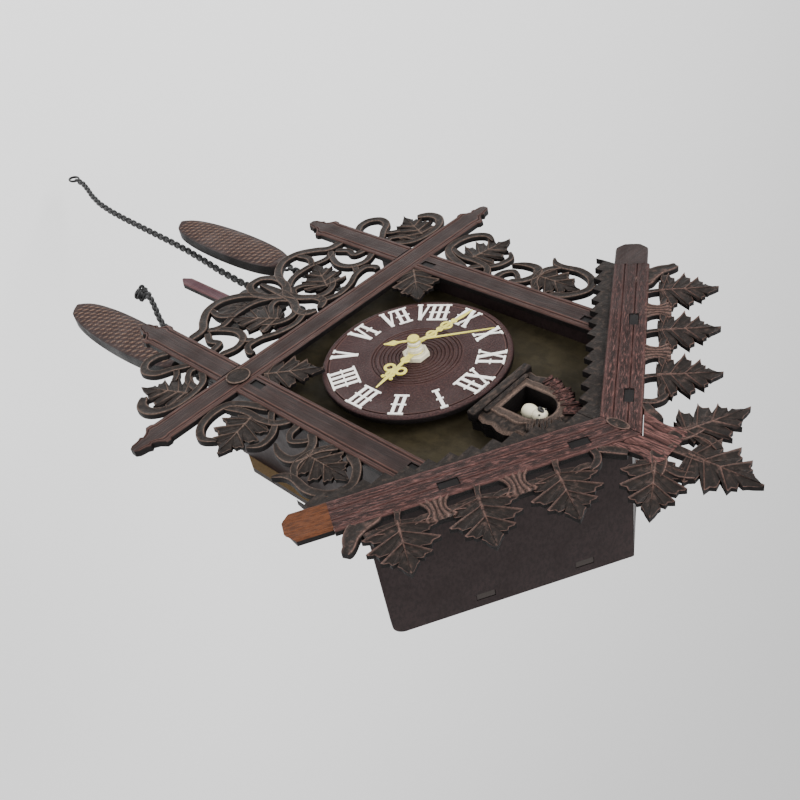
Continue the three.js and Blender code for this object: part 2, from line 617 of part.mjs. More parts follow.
// Hands are drawn pointing up; rings are [distance from the hub, side offset, radius, hole].
function hand(height, hub, hubHole, blade, rings, angle) {
  const solids = [spreadOf(outline(blade), height), spreadOf(oval(0, 0, hub), height)];
  for (const [y, x, r] of rings) solids.push(spreadOf(oval(x, y, r), height));
  const holes = rings
    .filter((item) => item[3])
    .map(([y, x, , hole]) => disc(x, y, hole, height - 1, height + 1, 0, 4));
  holes.push(disc(0, 0, hubHole, height - 1, height + 1, 0, 8));
  const geometry = cut(join(...solids), ...holes);
  return geometry.rotateY(THREE.MathUtils.degToRad(90 - angle));
}

function hourHand() {
  const blade = bothSides([[1.5, 0], [1.5, 5], [0.9, 9], [0.7, 18], [0.8, 21], [0.25, HOUR_LENGTH]]);
  const rings = [[14.6, 3, 2.6, 1.3], [14.6, -3, 2.6, 1.3], [18.2, 0, 2.3, 1.1], [7.4, 0, 2.1, 1]];
  return hand(HOUR_H, 3.4, HOUR_TUBE_R[1] + FIT / 2, blade, rings, handAngles.hour);
}

function minuteHand() {
  const blade = bothSides([[1.3, 0], [1.2, 5], [0.8, 8], [0.8, 24], [0.25, MINUTE_LENGTH]]);
  const rings = [[9.6, 0, 2.5, 1.4], [14.6, 0, 1.5, 0], [17.4, 0, 2.7, 1.5], [22, 0, 1.4, 0]];
  return hand(MINUTE_H, 2.8, MINUTE_SHAFT_R + FIT / 2, blade, rings, handAngles.minute);
}

function secondHand() {
  const blade = [
    [0.55, 0], [0.2, SECOND_LENGTH], [-0.2, SECOND_LENGTH], [-0.55, 0],
    [-0.6, -6.4], [-1.9, -8.6], [0, -13], [1.9, -8.6], [0.6, -6.4],
  ];
  const cap = disc(0, 0, CAP_R, SECOND_H - HAND_SHEET, SECOND_H + CAP_RISE, 0, 8);
  const well = disc(0, 0, SECOND_SHAFT_R + FIT / 2, SECOND_H - 1, SECOND_H + CAP_RISE / 2, 0, 5);
  return cut(join(hand(SECOND_H, CAP_R - 0.3, 0.3, blade, [], handAngles.second), cap), well);
}

const polygon = (r, sides) => outline(Array.from({ length: sides }, (_, k) => [
  r * Math.cos(2 * Math.PI * k / sides), r * Math.sin(2 * Math.PI * k / sides),
]));

function bushNut() {
  const shape = polygon(NUT_R, 6);
  shape.holes.push(oval(0, 0, BUSH_R + FIT));
  return plate(shape, GLUE, NUT_TOP, 10);
}

// ---- movement ----------------------------------------------------------------------------------

const MOVEMENT_FRONT = FRONT_BOARD_BACK - GLUE;
const MOVEMENT_BACK = MOVEMENT_FRONT - MOVEMENT[1];
const SHAFT_BACK = MOVEMENT_BACK + 7;

function movementCase() {
  const half = MOVEMENT[0] / 2;
  const body = block([-half, MOVEMENT_BACK, -MOVEMENT[2] / 2], [half, MOVEMENT_FRONT, MOVEMENT[2] / 2]);
  const bay = block(
    [-BATTERY[1] / 2 - 1, MOVEMENT_BACK - 1, BATTERY_V - BATTERY[0] - 0.8],
    [BATTERY[1] / 2 + 1, MOVEMENT_FRONT - 1.6, BATTERY_V + BATTERY[0] + 0.8],
  );
  const shaftWell = disc(0, 0, HOUR_TUBE_R[1] + FIT, MOVEMENT_BACK + 6, MOVEMENT_FRONT + 1, 0, 12);
  const knobWell = disc(0, 0, KNOB[0] * 0.3 + FIT, MOVEMENT_BACK - 1, MOVEMENT_BACK + 3, 0, 8);
  const hangerSlot = block(
    [-4.4, PENDULUM_FRONT - SHEET - 3, -MOVEMENT[2] / 2 - 1],
    [4.4, PENDULUM_FRONT + 3, -MOVEMENT[2] / 2 + 2],
  );
  return cut(body, bay, shaftWell, knobWell, hangerSlot);
}

function threadedBush() {
  return disc(0, 0, BUSH_R, MOVEMENT_FRONT + 0.2, BUSH_TOP, HOUR_TUBE_R[1] + FIT);
}

function battery() {
  const [r, length] = BATTERY;
  const body = new THREE.CylinderGeometry(r, r, length - 2, 20);
  const button = new THREE.CylinderGeometry(2.7, 2.7, 4, 12).translate(0, length / 2 - 1.5, 0);
  const geometry = join(body, button).rotateZ(Math.PI / 2);
  return geometry.translate(0, -(MOVEMENT_FRONT - 1.6 - 0.6 - r), BATTERY_V);
}

function settingKnob() {
  const wheel = disc(0, 0, KNOB[0], MOVEMENT_BACK - GLUE - KNOB[1], MOVEMENT_BACK - GLUE, 0, 10);
  return join(wheel, disc(0, 0, KNOB[0] * 0.3, MOVEMENT_BACK - GLUE - 1, MOVEMENT_BACK + 2.4, 0, 8));
}

// Bracket and pin under the movement that the pendulum hangs from.
function pendulumHanger() {
  const top = -MOVEMENT[2] / 2 + 1.6;
  const back = PENDULUM_FRONT - SHEET - 1.2;
  const front = PENDULUM_FRONT + 1.2;
  const cheeks = [[back - 1, back], [front, front + 1]]
    .map(([h0, h1]) => block([-3.4, h0 + 0.1, PENDULUM_PIVOT_V - 3], [3.4, h1 - 0.1, top]));
  const bridge = block([-3.4, back - 0.9, top - 1.4], [3.4, front + 0.9, top]);
  return join(...cheeks, bridge, disc(0, PENDULUM_PIVOT_V, PIVOT_R, back - 0.5, front + 0.5, 0, 8));
}

function pendulumRod() {
  const W = PENDULUM_HALF;
  const top = PENDULUM_PIVOT_V + 3.4;
  const half = [[0.01, PENDULUM_TIP_V], [W, PENDULUM_TIP_V + 5], [W, top - 1.4], [W - 1.4, top]];
  const rod = plate(outline(bothSides(half)), PENDULUM_FRONT - SHEET, PENDULUM_FRONT);
  const [back, front] = [PENDULUM_FRONT - SHEET - 1, PENDULUM_FRONT + 1];
  return cut(rod, disc(0, PENDULUM_PIVOT_V, PIVOT_R + FIT, back, front, 0, 10));
}

function pendulumBob() {
  const points = [];
  for (let i = 0; i < BOB_TEETH * 2; i += 1) {
    const r = i % 2 ? BOB_R : BOB_R * 0.9;
    const turn = (i / (BOB_TEETH * 2)) * 2 * Math.PI + Math.PI / 2;
    points.push([r * Math.cos(turn), BOB_V + r * Math.sin(turn)]);
  }
  return plate(outline(points), PENDULUM_FRONT + GLUE, PENDULUM_FRONT + GLUE + SHEET);
}

// ---- cuckoo house ------------------------------------------------------------------------------

function arch(grow) {
  const half = ARCH_HALF + grow;
  const shape = new THREE.Shape();
  shape.moveTo(-half, ARCH_SILL_V - grow);
  shape.lineTo(half, ARCH_SILL_V - grow);
  shape.lineTo(half, ARCH_SPRING_V);
  shape.absarc(0, ARCH_SPRING_V, half, 0, Math.PI, false);
  return shape;
}

// The ragged edge of the house front: change in half width against the height over its foot.
const HOUSE_EDGE = [
  [0, 0], [1.5, 3.4], [-1.6, 6.6], [-0.4, 11], [-2.6, 14], [-0.6, 19], [-3.6, 21.6], [-2.2, 26], [-6.4, 28.4],
  [-6, 32.6], [-9.6, 33.4], [-10.6, 37], [-14.1, 35.8],
];

function houseFront() {
  const edge = HOUSE_EDGE.map(([out, up]) => [HOUSE_HALF + out, HOUSE_FOOT_V + up]);
  const half = [...edge, [0.01, HOUSE_TOP_V]];
  return cut(plate(outline(bothSides(half)), HOUSE_FRONT - SHEET, HOUSE_FRONT),
    plate(arch(0), HOUSE_FRONT - SHEET - 1, HOUSE_FRONT + 1, 6));
}

function houseBack() {
  const half = [
    [HOUSE_HALF + 1, HOUSE_FOOT_V + 2], [HOUSE_HALF + 1, HOUSE_FOOT_V + 27],
    [HOUSE_HALF - 2.4, HOUSE_FOOT_V + 33], [0.01, HOUSE_TOP_V - 1],
  ];
  const back = -FRONT_RECESS + GLUE;
  const board = plate(outline(bothSides(half)), back, back + SHEET);
  return cut(board, plate(arch(-1), back - 1, back + SHEET + 1, 6));
}

// Floor, two side walls and the ledge that shows in the arch, between the back plate and the front.
function houseBox() {
  const [inner, outer] = [ARCH_HALF + 1.6, ARCH_HALF + 4];
  const back = -FRONT_RECESS + 2 * GLUE + SHEET;
  const front = HOUSE_FRONT - SHEET - GLUE;
  const walls = [[-outer, -inner], [inner, outer]]
    .map(([x0, x1]) => block([x0, back, ARCH_SILL_V - 3], [x1, front, ARCH_SPRING_V + 4]));
  const top = ARCH_SILL_V + 2.2;
  const half = ARCH_HALF - 0.4;
  const floor = block([-outer, back, ARCH_SILL_V - 3], [outer, front, top]);
  const ledge = block([-half, back, ARCH_SILL_V + GLUE], [half, HOUSE_FRONT + 1, top]);
  return join(floor, ledge, ...walls);
}

// The bird faces the viewer; its head and body are one turned piece with a beak.
function cuckoo() {
  const profile = [
    [0, -5], [2.4, -4.4], [3.5, -2], [3.4, 0.6], [2.7, 2.2], [2.9, 3.8], [2.2, 5.6], [0, 6.4],
  ];
  const body = new THREE.LatheGeometry(profile.map(([r, y]) => new THREE.Vector2(r, y)), 12);
  body.rotateX(Math.PI / 2);
  const beak = new THREE.ConeGeometry(0.9, 2.6, 6);
  beak.rotateX(Math.PI).translate(0, -3.5, 3.9);
  return join(closed(body), closed(beak)).translate(0, 4, ARM_V + 1.2);
}

function cuckooArm() {
  return block([-ARM_HALF, ARM_BACK, ARM_V - ARM_HALF], [ARM_HALF, -7.9, ARM_V + ARM_HALF]);
}

function cuckooDrive() {
  const top = FRONT_BOARD_BACK - GLUE;
  const body = block([-11, top - 20, ARM_V - 9], [11, top, ARM_V + 9]);
  const half = ARM_HALF + FIT;
  return cut(body, block([-half, ARM_BACK - 1, ARM_V - half], [half, 0, ARM_V + half]));
}

// ---- weights and chains ------------------------------------------------------------------------

const WEIGHT_H = WEIGHT_FRONT - WEIGHT_THICK / 2;
const HOOK_V = BASE_V - SHEET - 1 - HOOK_R;
const HOOK_DROP = HOOK_R + HOOK_WIRE_R + 0.6;
const HOOKS = [
  [WEIGHT_X, WEIGHT_H], [-WEIGHT_X, WEIGHT_H], [FREE_CHAIN_X, FREE_CHAIN_H], [-FREE_CHAIN_X, FREE_CHAIN_H],
];

// A screw eye under the base board.
function screwEye(x, h) {
  return join(wireRing(x, h, HOOK_V, HOOK_R, HOOK_WIRE_R),
    uprightRod(x, h, HOOK_V + HOOK_R - 0.2, BASE_V - 0.4, HOOK_WIRE_R, 6));
}

// A weight's half width, as a share of the widest, against the share of its length from the top.
const CONE_PROFILE = [
  [1, 0.14], [0.985, 0.36], [0.95, 0.56], [0.86, 0.76], [0.7, 0.93], [0.5, 1], [0.3, 0.96], [0.14, 0.82],
  [0.04, 0.6], [0, 0.36],
];

function weight(side) {
  const top = side < 0 ? WEIGHT_TOP_V.left : WEIGHT_TOP_V.right;
  const half = CONE_PROFILE.map(([t, w]) => [Math.max(w * WEIGHT_HALF, 0.01), top - t * WEIGHT_LENGTH]);
  const body = plate(outline(bothSides(half)), WEIGHT_FRONT - WEIGHT_THICK, WEIGHT_FRONT);
  const hole = uprightRod(0, WEIGHT_H, top - 4, top + 1, HOOK_WIRE_R + FIT);
  return cut(body, hole).translate(side * WEIGHT_X, 0, 0);
}

const eyeHeight = (side) => (side < 0 ? WEIGHT_TOP_V.left : WEIGHT_TOP_V.right) + 1 + HOOK_R;

// The chain a weight hangs on, with the eye that screws into the weight's top.
function weightChain(side) {
  const x = side * WEIGHT_X;
  const v = eyeHeight(side);
  return join(
    uprightRod(x, WEIGHT_H, v + HOOK_R - HOOK_WIRE_R / 2, HOOK_V - HOOK_DROP, CHAIN_D / 2),
    wireRing(x, WEIGHT_H, v, HOOK_R, HOOK_WIRE_R),
    uprightRod(x, WEIGHT_H, v - HOOK_R - 4.2, v - HOOK_R + 0.2, HOOK_WIRE_R, 6),
  );
}

// Routes of the free chain ends, from the screw eye down, as [x, v].
const CHAIN_ROUTES = {
  left: [
    [-29, -83], [-28.6, -100], [-28.2, -120], [-28, -140], [-28.2, -160], [-28.9, -178], [-30.7, -200],
    [-33.2, -220], [-35.4, -240], [-36.8, -260], [-37.8, -280], [-38.8, -300], [-39.9, -322], [-41.4, -342],
    [-44, -362], [-48.4, -380], [-53, -394], [-56.4, -406], [-57.6, -416],
  ],
  right: [
    [29, -83], [28.9, -98], [28.7, -113], [28.4, -128], [28, -143], [27.4, -158], [26.2, -172],
    [23.4, -184], [19.6, -194], [15.6, -203], [12, -212], [9.6, -220],
  ],
};

function freeChain(route) {
  const path = new THREE.CatmullRomCurve3(route.map(([x, v]) => new THREE.Vector3(x, -FREE_CHAIN_H, v)));
  const options = { steps: route.length - 1, extrudePath: path, bevelEnabled: false };
  return closed(new THREE.ExtrudeGeometry(polygon(CHAIN_D / 2, 8), options));
}

function chainRing() {
  const [x, v] = CHAIN_ROUTES.left[CHAIN_ROUTES.left.length - 1];
  const ringR = 4.6;
  return wireRing(0, 0, 0, ringR, 0.9).scale(0.72, 1, 1).translate(x, -FREE_CHAIN_H, v - ringR - 0.9 - GAP);
}

// The short free end is gathered in a bunch of its last links, which lies back from the weight.
const BUNCH = [5.2, 4.4, 6.6];
const BUNCH_H = FREE_CHAIN_H - 1.6;

function chainBunch() {
  const [x, v] = CHAIN_ROUTES.right[CHAIN_ROUTES.right.length - 1];
  const geometry = new THREE.IcosahedronGeometry(1, 1);
  return closed(geometry).scale(...BUNCH).translate(x, -BUNCH_H, v - BUNCH[2] - GAP);
}

// ---- the clock ---------------------------------------------------------------------------------

const clock = new THREE.Group();
clock.position.set(0, -WALL_DEPTH, -HANG_V);

function add(name, geometry, material) {
  const mesh = new THREE.Mesh(closed(geometry), material());
  mesh.name = name;
  clock.add(mesh);
}

add('back_panel', backPanel(), rawBoard);
add('hanger_plate', hangerPlate(), rawBoard);
add('front_board', frontBoard(), oliveBoard);
add('base_board', baseBoard(), darkWood);
add('cross_beam', crossBeam(), beamWood);
add('crown', crown(), redWood);
add('vine_centre', centreOrnament(), carvedWood);
add('rosette', disc(BEAM_X, BEAM_V, ROSETTE_R, BEAM_FRONT + GLUE, BEAM_FRONT + ROSETTE_H), carvedWood);

for (const [name, side] of [['left', -1], ['right', 1]]) {
  add(`side_panel_${name}`, sidePanel(side), darkWood);
  add(`roof_board_${name}`, roofBoard(side), darkWood);
  add(`fascia_${name}`, fascia(side), redWood);
  add(`stepped_trim_${name}`, steppedTrim(side), carvedWood);
  add(`upright_beam_${name}`, uprightBeam(side), beamWood);
  add(`vine_upper_${name}`, sideOrnament(UPPER, side, -20, 60), carvedWood);
  add(`vine_lower_${name}`, sideOrnament(LOWER, side, OVER, 0), carvedWood);
  add(`vine_outer_${name}`, sideOrnament(OUTSIDE, side, BEAM_FOOT_V, UNDER), carvedWood);
  add(`corner_leaf_${name}`, cornerLeaf(side), carvedWood);
  add(`weight_hook_${name}`, screwEye(side * WEIGHT_X, WEIGHT_H), blackMetal);
  add(`chain_hook_${name}`, screwEye(side * FREE_CHAIN_X, FREE_CHAIN_H), blackMetal);
  add(`weight_chain_${name}`, weightChain(side), blackMetal);
  add(`weight_${name}`, weight(side), coneWood);
  add(`chain_${name}`, freeChain(CHAIN_ROUTES[name]), blackMetal);
}

add('chain_ring', chainRing(), blackMetal);
add('chain_bunch', chainBunch(), blackMetal);

add('dial_spacer', disc(0, 0, SPACER_R, -FRONT_RECESS + GLUE, -SHEET - GLUE, SPACER_R - 8), darkWood);
add('dial', disc(0, 0, DIAL_R, -SHEET, 0, DIAL_HOLE_R, 24), dialWood);
add('house_back', houseBack(), carvedWood);
add('house_front', houseFront(), carvedWood);
add('house_box', houseBox(), carvedWood);
add('cuckoo', cuckoo(), ivory);
add('cuckoo_arm', cuckooArm(), steel);
add('cuckoo_drive', cuckooDrive(), blackPlastic);

add('movement_case', movementCase(), blackPlastic);
add('battery', battery(), batteryFoil);
add('setting_knob', settingKnob(), blackPlastic);
add('threaded_bush', threadedBush(), brass);
add('bush_nut', bushNut(), brass);
add('hour_tube', disc(0, 0, HOUR_TUBE_R[1], SHAFT_BACK, HOUR_H + 0.6, HOUR_TUBE_R[0], 10), blackPlastic);
add('minute_shaft', disc(0, 0, MINUTE_SHAFT_R, SHAFT_BACK, MINUTE_H + 0.5, SECOND_SHAFT_R + FIT, 8), brass);
add('second_shaft', disc(0, 0, SECOND_SHAFT_R, SHAFT_BACK, SECOND_H + 0.4, 0, 5), steel);
add('hour_hand', hourHand(), paleGold);
add('minute_hand', minuteHand(), paleGold);
add('second_hand', secondHand(), paleGold);

add('pendulum_hanger', pendulumHanger(), blackPlastic);
add('pendulum_rod', pendulumRod(), coneWood);
add('pendulum_bob', pendulumBob(), carvedWood);

export default clock;
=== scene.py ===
"""Wall-hung wooden cuckoo clock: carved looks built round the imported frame."""

import math
import random

import bmesh
import bpy
from bpy.props import FloatProperty, FloatVectorProperty, IntProperty, PointerProperty
from bpy.types import Operator, Panel, PropertyGroup
from mathutils import Matrix, Vector, noise


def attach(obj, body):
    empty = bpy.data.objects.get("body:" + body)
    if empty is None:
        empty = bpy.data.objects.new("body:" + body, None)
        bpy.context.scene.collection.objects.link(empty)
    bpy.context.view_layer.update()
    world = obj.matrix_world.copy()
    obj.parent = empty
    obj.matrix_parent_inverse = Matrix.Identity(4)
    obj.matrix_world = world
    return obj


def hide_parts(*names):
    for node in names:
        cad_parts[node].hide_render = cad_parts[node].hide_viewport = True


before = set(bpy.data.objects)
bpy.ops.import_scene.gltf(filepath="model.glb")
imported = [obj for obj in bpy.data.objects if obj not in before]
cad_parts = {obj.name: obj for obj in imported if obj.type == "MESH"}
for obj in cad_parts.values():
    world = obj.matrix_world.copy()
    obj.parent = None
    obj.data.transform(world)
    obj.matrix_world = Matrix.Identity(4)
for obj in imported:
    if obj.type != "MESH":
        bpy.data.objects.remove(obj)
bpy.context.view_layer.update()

bl_info = {
    "name": "Carved cuckoo clock",
    "version": (1, 0, 0),
    "blender": (4, 5, 0),
    "location": "3D View > Sidebar > Cuckoo clock",
    "description": "Builds the carved, turned and wire pieces of a wooden cuckoo clock",
    "category": "Add Mesh",
}

# ---- the clock's drawing ---------------------------------------------------------------------
# Millimetres on the face: x across, v up from the dial's centre, h forward of the dial's face.

MM = 0.001
HANG_V = 74.0                     # hanging point above the dial's centre
WALL_DEPTH = 58.6                 # dial's face to the wall
TO_ROW = Matrix.Translation((0, -WALL_DEPTH * MM, -HANG_V * MM)) @ Matrix.Scale(MM, 4)

PITCH = math.radians(31)
ALONG, RISE, SLOPE = math.cos(PITCH), math.sin(PITCH), math.tan(PITCH)
GAP = 0.3

FASCIA_FRONT, FASCIA_BACK = 9.4, 6.4
PEAK_V = 94.7                     # where the fascia's lower edges meet
RIDGE_V = 108.5
FASCIA_WIDTH, FASCIA_LENGTH, END_BLOCK = 15.5, 121.5, 17.0
LEAF_FIRST, LEAF_PITCH = 25.0, 29.1
SLOTS_S = (12.3, 61.6)
TAB_LENGTH, ROOF_SHEET, FIT = 7.5, 3.5, 0.2

BEAM_FRONT, BEAM_BACK = 3.5, 0.5
BEAM_X, BEAM_V, BEAM_HALF = 56.4, -54.5, 7.0
BEAM_TOP_V, BEAM_FOOT_V, CROSS_TIP_X = 60.0, -131.5, 113.0
LAP = 1.5
MORTISE_V, MORTISE_LENGTH = (51.5, -42.5), 7.0
VINE_FRONT = 3.3
FINIAL = ((0, 1.15), (2.2, 1.15), (4.2, 0.72), (6.4, 0.5), (7.6, 0.66), (9.2, 0.5), (12.4, 0.42), (14, 0.22))

DIAL_R, DIAL_HOLE_R, NUMERAL_R = 42.0, 4.6, 33.0
HOUR_H, MINUTE_H, SECOND_H, HAND_SHEET = 3.0, 6.4, 8.6, 0.5
TIME_MINUTES, TIME_SECONDS = 2 * 60 + 46.5, 52.5

WEIGHT_X, WEIGHT_H, WEIGHT_FRONT = 47.0, -26.75, -23.0
WEIGHT_THICK, WEIGHT_LENGTH, WEIGHT_HALF = 7.5, 101.0, 11.8
WEIGHT_TOP_V = {"left": -156.0, "right": -130.0}
CHAIN_D, HOOK_WIRE_R, HOOK_R, HOOK_V = 4.5, 0.8, 2.6, -78.6
BASE_V = -72.0
FREE_CHAIN_H, FREE_CHAIN_X = -34.0, 29.0
CHAIN_ROUTES = {
    "left": ((-29, -83), (-28.6, -100), (-28.2, -120), (-28, -140), (-28.2, -160), (-28.9, -178),
             (-30.7, -200), (-33.2, -220), (-35.4, -240), (-36.8, -260), (-37.8, -280), (-38.8, -300),
             (-39.9, -322), (-41.4, -342), (-44, -362), (-48.4, -380), (-53, -394), (-56.4, -406),
             (-57.6, -416)),
    "right": ((29, -83), (28.9, -98), (28.7, -113), (28.4, -128), (28, -143), (27.4, -158),
              (26.2, -172), (23.4, -184), (19.6, -194), (15.6, -203), (12, -212), (9.6, -220)),
}
SIDES = (("left", -1), ("right", 1))


# ---- settings --------------------------------------------------------------------------------


def linear(red, green, blue):
    """A colour given from 0 to 255, as the shader wants it."""
    shares = [c / 255 for c in (red, green, blue)]
    return tuple(c / 12.92 if c <= 0.04045 else ((c + 0.055) / 1.055) ** 2.4 for c in shares)


def colour(name, description, red, green, blue):
    return FloatVectorProperty(name=name, description=description, default=linear(red, green, blue),
                               size=3, min=0, max=1, subtype="COLOR")


class ClockFinish(PropertyGroup):
    # Darkest stain: the sawn edges' own colour, and the painted shade in the cuts.
    deep_stain_and_shade: colour("Deep stain", "Stain in cuts and on sawn edges", 13, 10, 10)
    # Rose: the dry brush on the fascias, and the colour of the worn stain with painted highlight on their ridges.
    rose: colour("Rose stain", "Dry-brushed face of the fascias", 110, 74, 69)
    rose_low: colour("Rose shade", "Stain under the dry brush", 40, 25, 23)
    copper: colour("Block stain", "Plain block at the right fascia's end", 78, 44, 24)
    umber: colour("Beam stain", "Face of the beams", 41, 29, 27)
    # Beam edge: worn stain with a painted highlight on the beams' edges and the dial's rings.
    beam_edge: colour("Beam edge", "Rubbed edges of the beams", 98, 68, 60)
    leafy: colour("Leaf stain", "Face of leaves and vines", 33, 27, 24)
    # Leaf highlight: worn stain with a painted highlight on the ridges of leaves and vines.
    vein: colour("Leaf highlight", "Rubbed ridges of leaves and vines", 122, 100, 88)
    olive: colour("Front board", "Stain of the front board", 50, 44, 30)
    roof: colour("Roof stain", "Stain of the roof and side boards", 36, 27, 27)
    board: colour("Raw board", "Bare fibreboard", 112, 90, 58)
    dial: colour("Dial stain", "Face of the dial", 54, 35, 35)
    numeral: colour("Numerals", "Paint of the numerals", 240, 238, 232)
    gold: colour("Hands", "Lacquer of the hands", 216, 204, 92)
    cone: colour("Weight stain", "Face of the weights", 46, 31, 30)
    # Weight highlight: worn stain with a painted highlight on the crests of the scales.
    scale: colour("Weight highlight", "Rubbed scales of the weights", 172, 140, 118)
    rod: colour("Pendulum stain", "Face of the pendulum rod", 78, 52, 58)


class ClockShape(PropertyGroup):
    relief: FloatProperty(name="Carving depth", description="Depth of the carved leaves in millimetres",
                          default=1.1, min=0.2, max=2.0)
    groove: FloatProperty(name="Groove depth", description="Depth of the beams' grooves in millimetres",
                          default=0.45, min=0.1, max=1.0)
    engraving: FloatProperty(name="Engraving depth", description="Depth of the dial's rings in millimetres",
                             default=0.4, min=0.1, max=1.0)
    numeral_height: FloatProperty(name="Numeral height", description="Height of the numerals in millimetres",
                                  default=12.4, min=8.0, max=14.0)
    scale_depth: FloatProperty(name="Scale depth", description="Depth of the weights' scales in millimetres",
                               default=0.7, min=0.2, max=1.2)
    wire: FloatProperty(name="Link wire", description="Radius of the chains' wire in millimetres",
                        default=0.92, min=0.3, max=0.98)
    dial_steps: IntProperty(name="Dial steps", description="Facets round the dial", default=128, min=48, max=256)


# ---- finishes --------------------------------------------------------------------------------


def node(tree, kind, inputs=(), **settings):
    """Adds a shader node; an input is a value or another node's socket."""
    made = tree.nodes.new(kind)
    for key, value in settings.items():
        setattr(made, key, value)
    for key, value in dict(inputs).items():
        if isinstance(value, bpy.types.NodeSocket):
            tree.links.new(value, made.inputs[key])
        else:
            made.inputs[key].default_value = value
    return made


def blank(name, roughness=0.6, metallic=0.0, specular=0.5):
    """A new material with its tree, its shader and its object coordinates."""
    material = bpy.data.materials.new(name)
    material.use_nodes = True
    tree = material.node_tree
    shader = tree.nodes["Principled BSDF"]
    shader.inputs["Roughness"].default_value = roughness
    shader.inputs["Metallic"].default_value = metallic
    shader.inputs["Specular IOR Level"].default_value = specular
    place = node(tree, "ShaderNodeTexCoord").outputs["Object"]
    return material, tree, shader, place


def mixed(tree, share, first, second, blend="MIX"):
    made = node(tree, "ShaderNodeMix", data_type="RGBA", blend_type=blend)
    for key, value in ((0, share), (6, first), (7, second)):
        if isinstance(value, bpy.types.NodeSocket):
            tree.links.new(value, made.inputs[key])
        else:
            made.inputs[key].default_value = value if key == 0 else (*tuple(value)[:3], 1.0)
    return made.outputs[2]


def ramped(tree, value, low, high, smooth=True):
    """Spreads a value between two limits to 0 to 1."""
    made = node(tree, "ShaderNodeMapRange", {"Value": value, "From Min": low, "From Max": high})
    made.interpolation_type = "SMOOTHSTEP" if smooth else "LINEAR"
    return made.outputs["Result"]


def speckle(tree, place, size, detail=4.0, roughness=0.6, turn=0.0):
    """Noise whose features are size millimetres along x, depth and v, with x turned on the face."""
    mapping = node(tree, "ShaderNodeMapping", {
        "Vector": place, "Rotation": (0, turn, 0), "Scale": [s * MM for s in size]}, vector_type="TEXTURE")
    made = node(tree, "ShaderNodeTexNoise", {
        "Vector": mapping.outputs[0], "Scale": 1.0, "Detail": detail, "Roughness": roughness})
    return made.outputs["Fac"]


def times(tree, first, second, operation="MULTIPLY"):
    made = node(tree, "ShaderNodeMath", {0: first, 1: second}, operation=operation)
    return made.outputs[0]


def wood(name, face, deep_stain_and_shade, rub_and_highlight, grain=(9.0, 0.5, 0.5), turn=0.0, crest=None, depth=1.0, worn=0.5,
         streak=(0.5, 0.62), bump=0.35, roughness=0.55, fade=None, sawn=False):
    """Stained wood: grain, blotches, dark sawn sides, painted shade in the cuts, a dry-brushed front and worn stain
    with a painted highlight on the ridges.
    """
    material, tree, shader, place = blank(name, roughness, specular=0.14)
    fine = speckle(tree, place, grain, 6.0, 0.62, turn)
    broad = speckle(tree, place, (15.0, 12.0, 12.0), 3.0, 0.5)
    pores = speckle(tree, place, [g * 0.35 for g in grain], 2.0, 0.5, turn)
    body = mixed(tree, ramped(tree, fine, 0.36, 0.6), [c * 0.6 for c in face], face)
    body = mixed(tree, times(tree, ramped(tree, broad, 0.35, 0.7), 0.4), body, [c * 0.6 for c in face])
    brush = times(tree, ramped(tree, fine, *streak), worn)
    if crest is not None:
        spot = node(tree, "ShaderNodeSeparateXYZ", {0: place})
        front = -(crest + WALL_DEPTH) * MM
        top = ramped(tree, spot.outputs["Y"], front + depth * MM, front + 0.12 * depth * MM)
        # Painted shade in the cuts: points sunk behind the front are mixed towards the darkest stain.
        low = ramped(tree, spot.outputs["Y"], front + 0.6 * depth * MM, front + 1.6 * depth * MM)
        brush = times(tree, brush, top)
        if fade:
            brush = times(tree, brush, ramped(tree, spot.outputs["X"], *fade))
        body = mixed(tree, times(tree, low, 0.8), body, deep_stain_and_shade)
    # Worn stain and painted highlight: the share kept on the points lightens ridges and edges towards the highlight
    # colour.
    ridge = node(tree, "ShaderNodeAttribute", attribute_name="rub_and_highlight").outputs["Fac"]
    patchy = node(tree, "ShaderNodeMapRange", {
        "Value": pores, "From Min": 0.34, "From Max": 0.58, "To Min": 0.25, "To Max": 0.85}).outputs["Result"]
    ridge_wear_and_highlight = times(tree, ridge, patchy)
    if fade:
        ridge_wear_and_highlight = times(tree, ridge_wear_and_highlight, node(tree, "ShaderNodeMapRange", {
            "Value": spot.outputs["X"], "From Min": fade[0], "From Max": fade[1], "To Min": 0.35}).outputs["Result"])
    brush = times(tree, brush, ridge_wear_and_highlight, "MAXIMUM")
    body = mixed(tree, brush, body, rub_and_highlight)
    normal = node(tree, "ShaderNodeNewGeometry").outputs["Normal"]
    facing_y = node(tree, "ShaderNodeSeparateXYZ", {0: normal}).outputs["Y"]
    flat = node(tree, "ShaderNodeMath", {0: facing_y}, operation="ABSOLUTE").outputs[0]
    if crest is not None:
        body = mixed(tree, ramped(tree, flat, 0.12, 0.55), deep_stain_and_shade, body)
    elif sawn:
        body = mixed(tree, ramped(tree, flat, 0.6, 0.8), body, deep_stain_and_shade)
    tree.links.new(body, shader.inputs["Base Color"])
    tree.links.new(node(tree, "ShaderNodeMapRange", {
        "Value": broad, "From Min": 0.3, "From Max": 0.7, "To Min": roughness - 0.12,
        "To Max": roughness + 0.14}).outputs["Result"], shader.inputs["Roughness"])
    relief = times(tree, fine, times(tree, pores, 0.5), "ADD")
    tree.links.new(node(tree, "ShaderNodeBump", {
        "Height": relief, "Strength": bump, "Distance": 0.0006}).outputs[0], shader.inputs["Normal"])
    return material


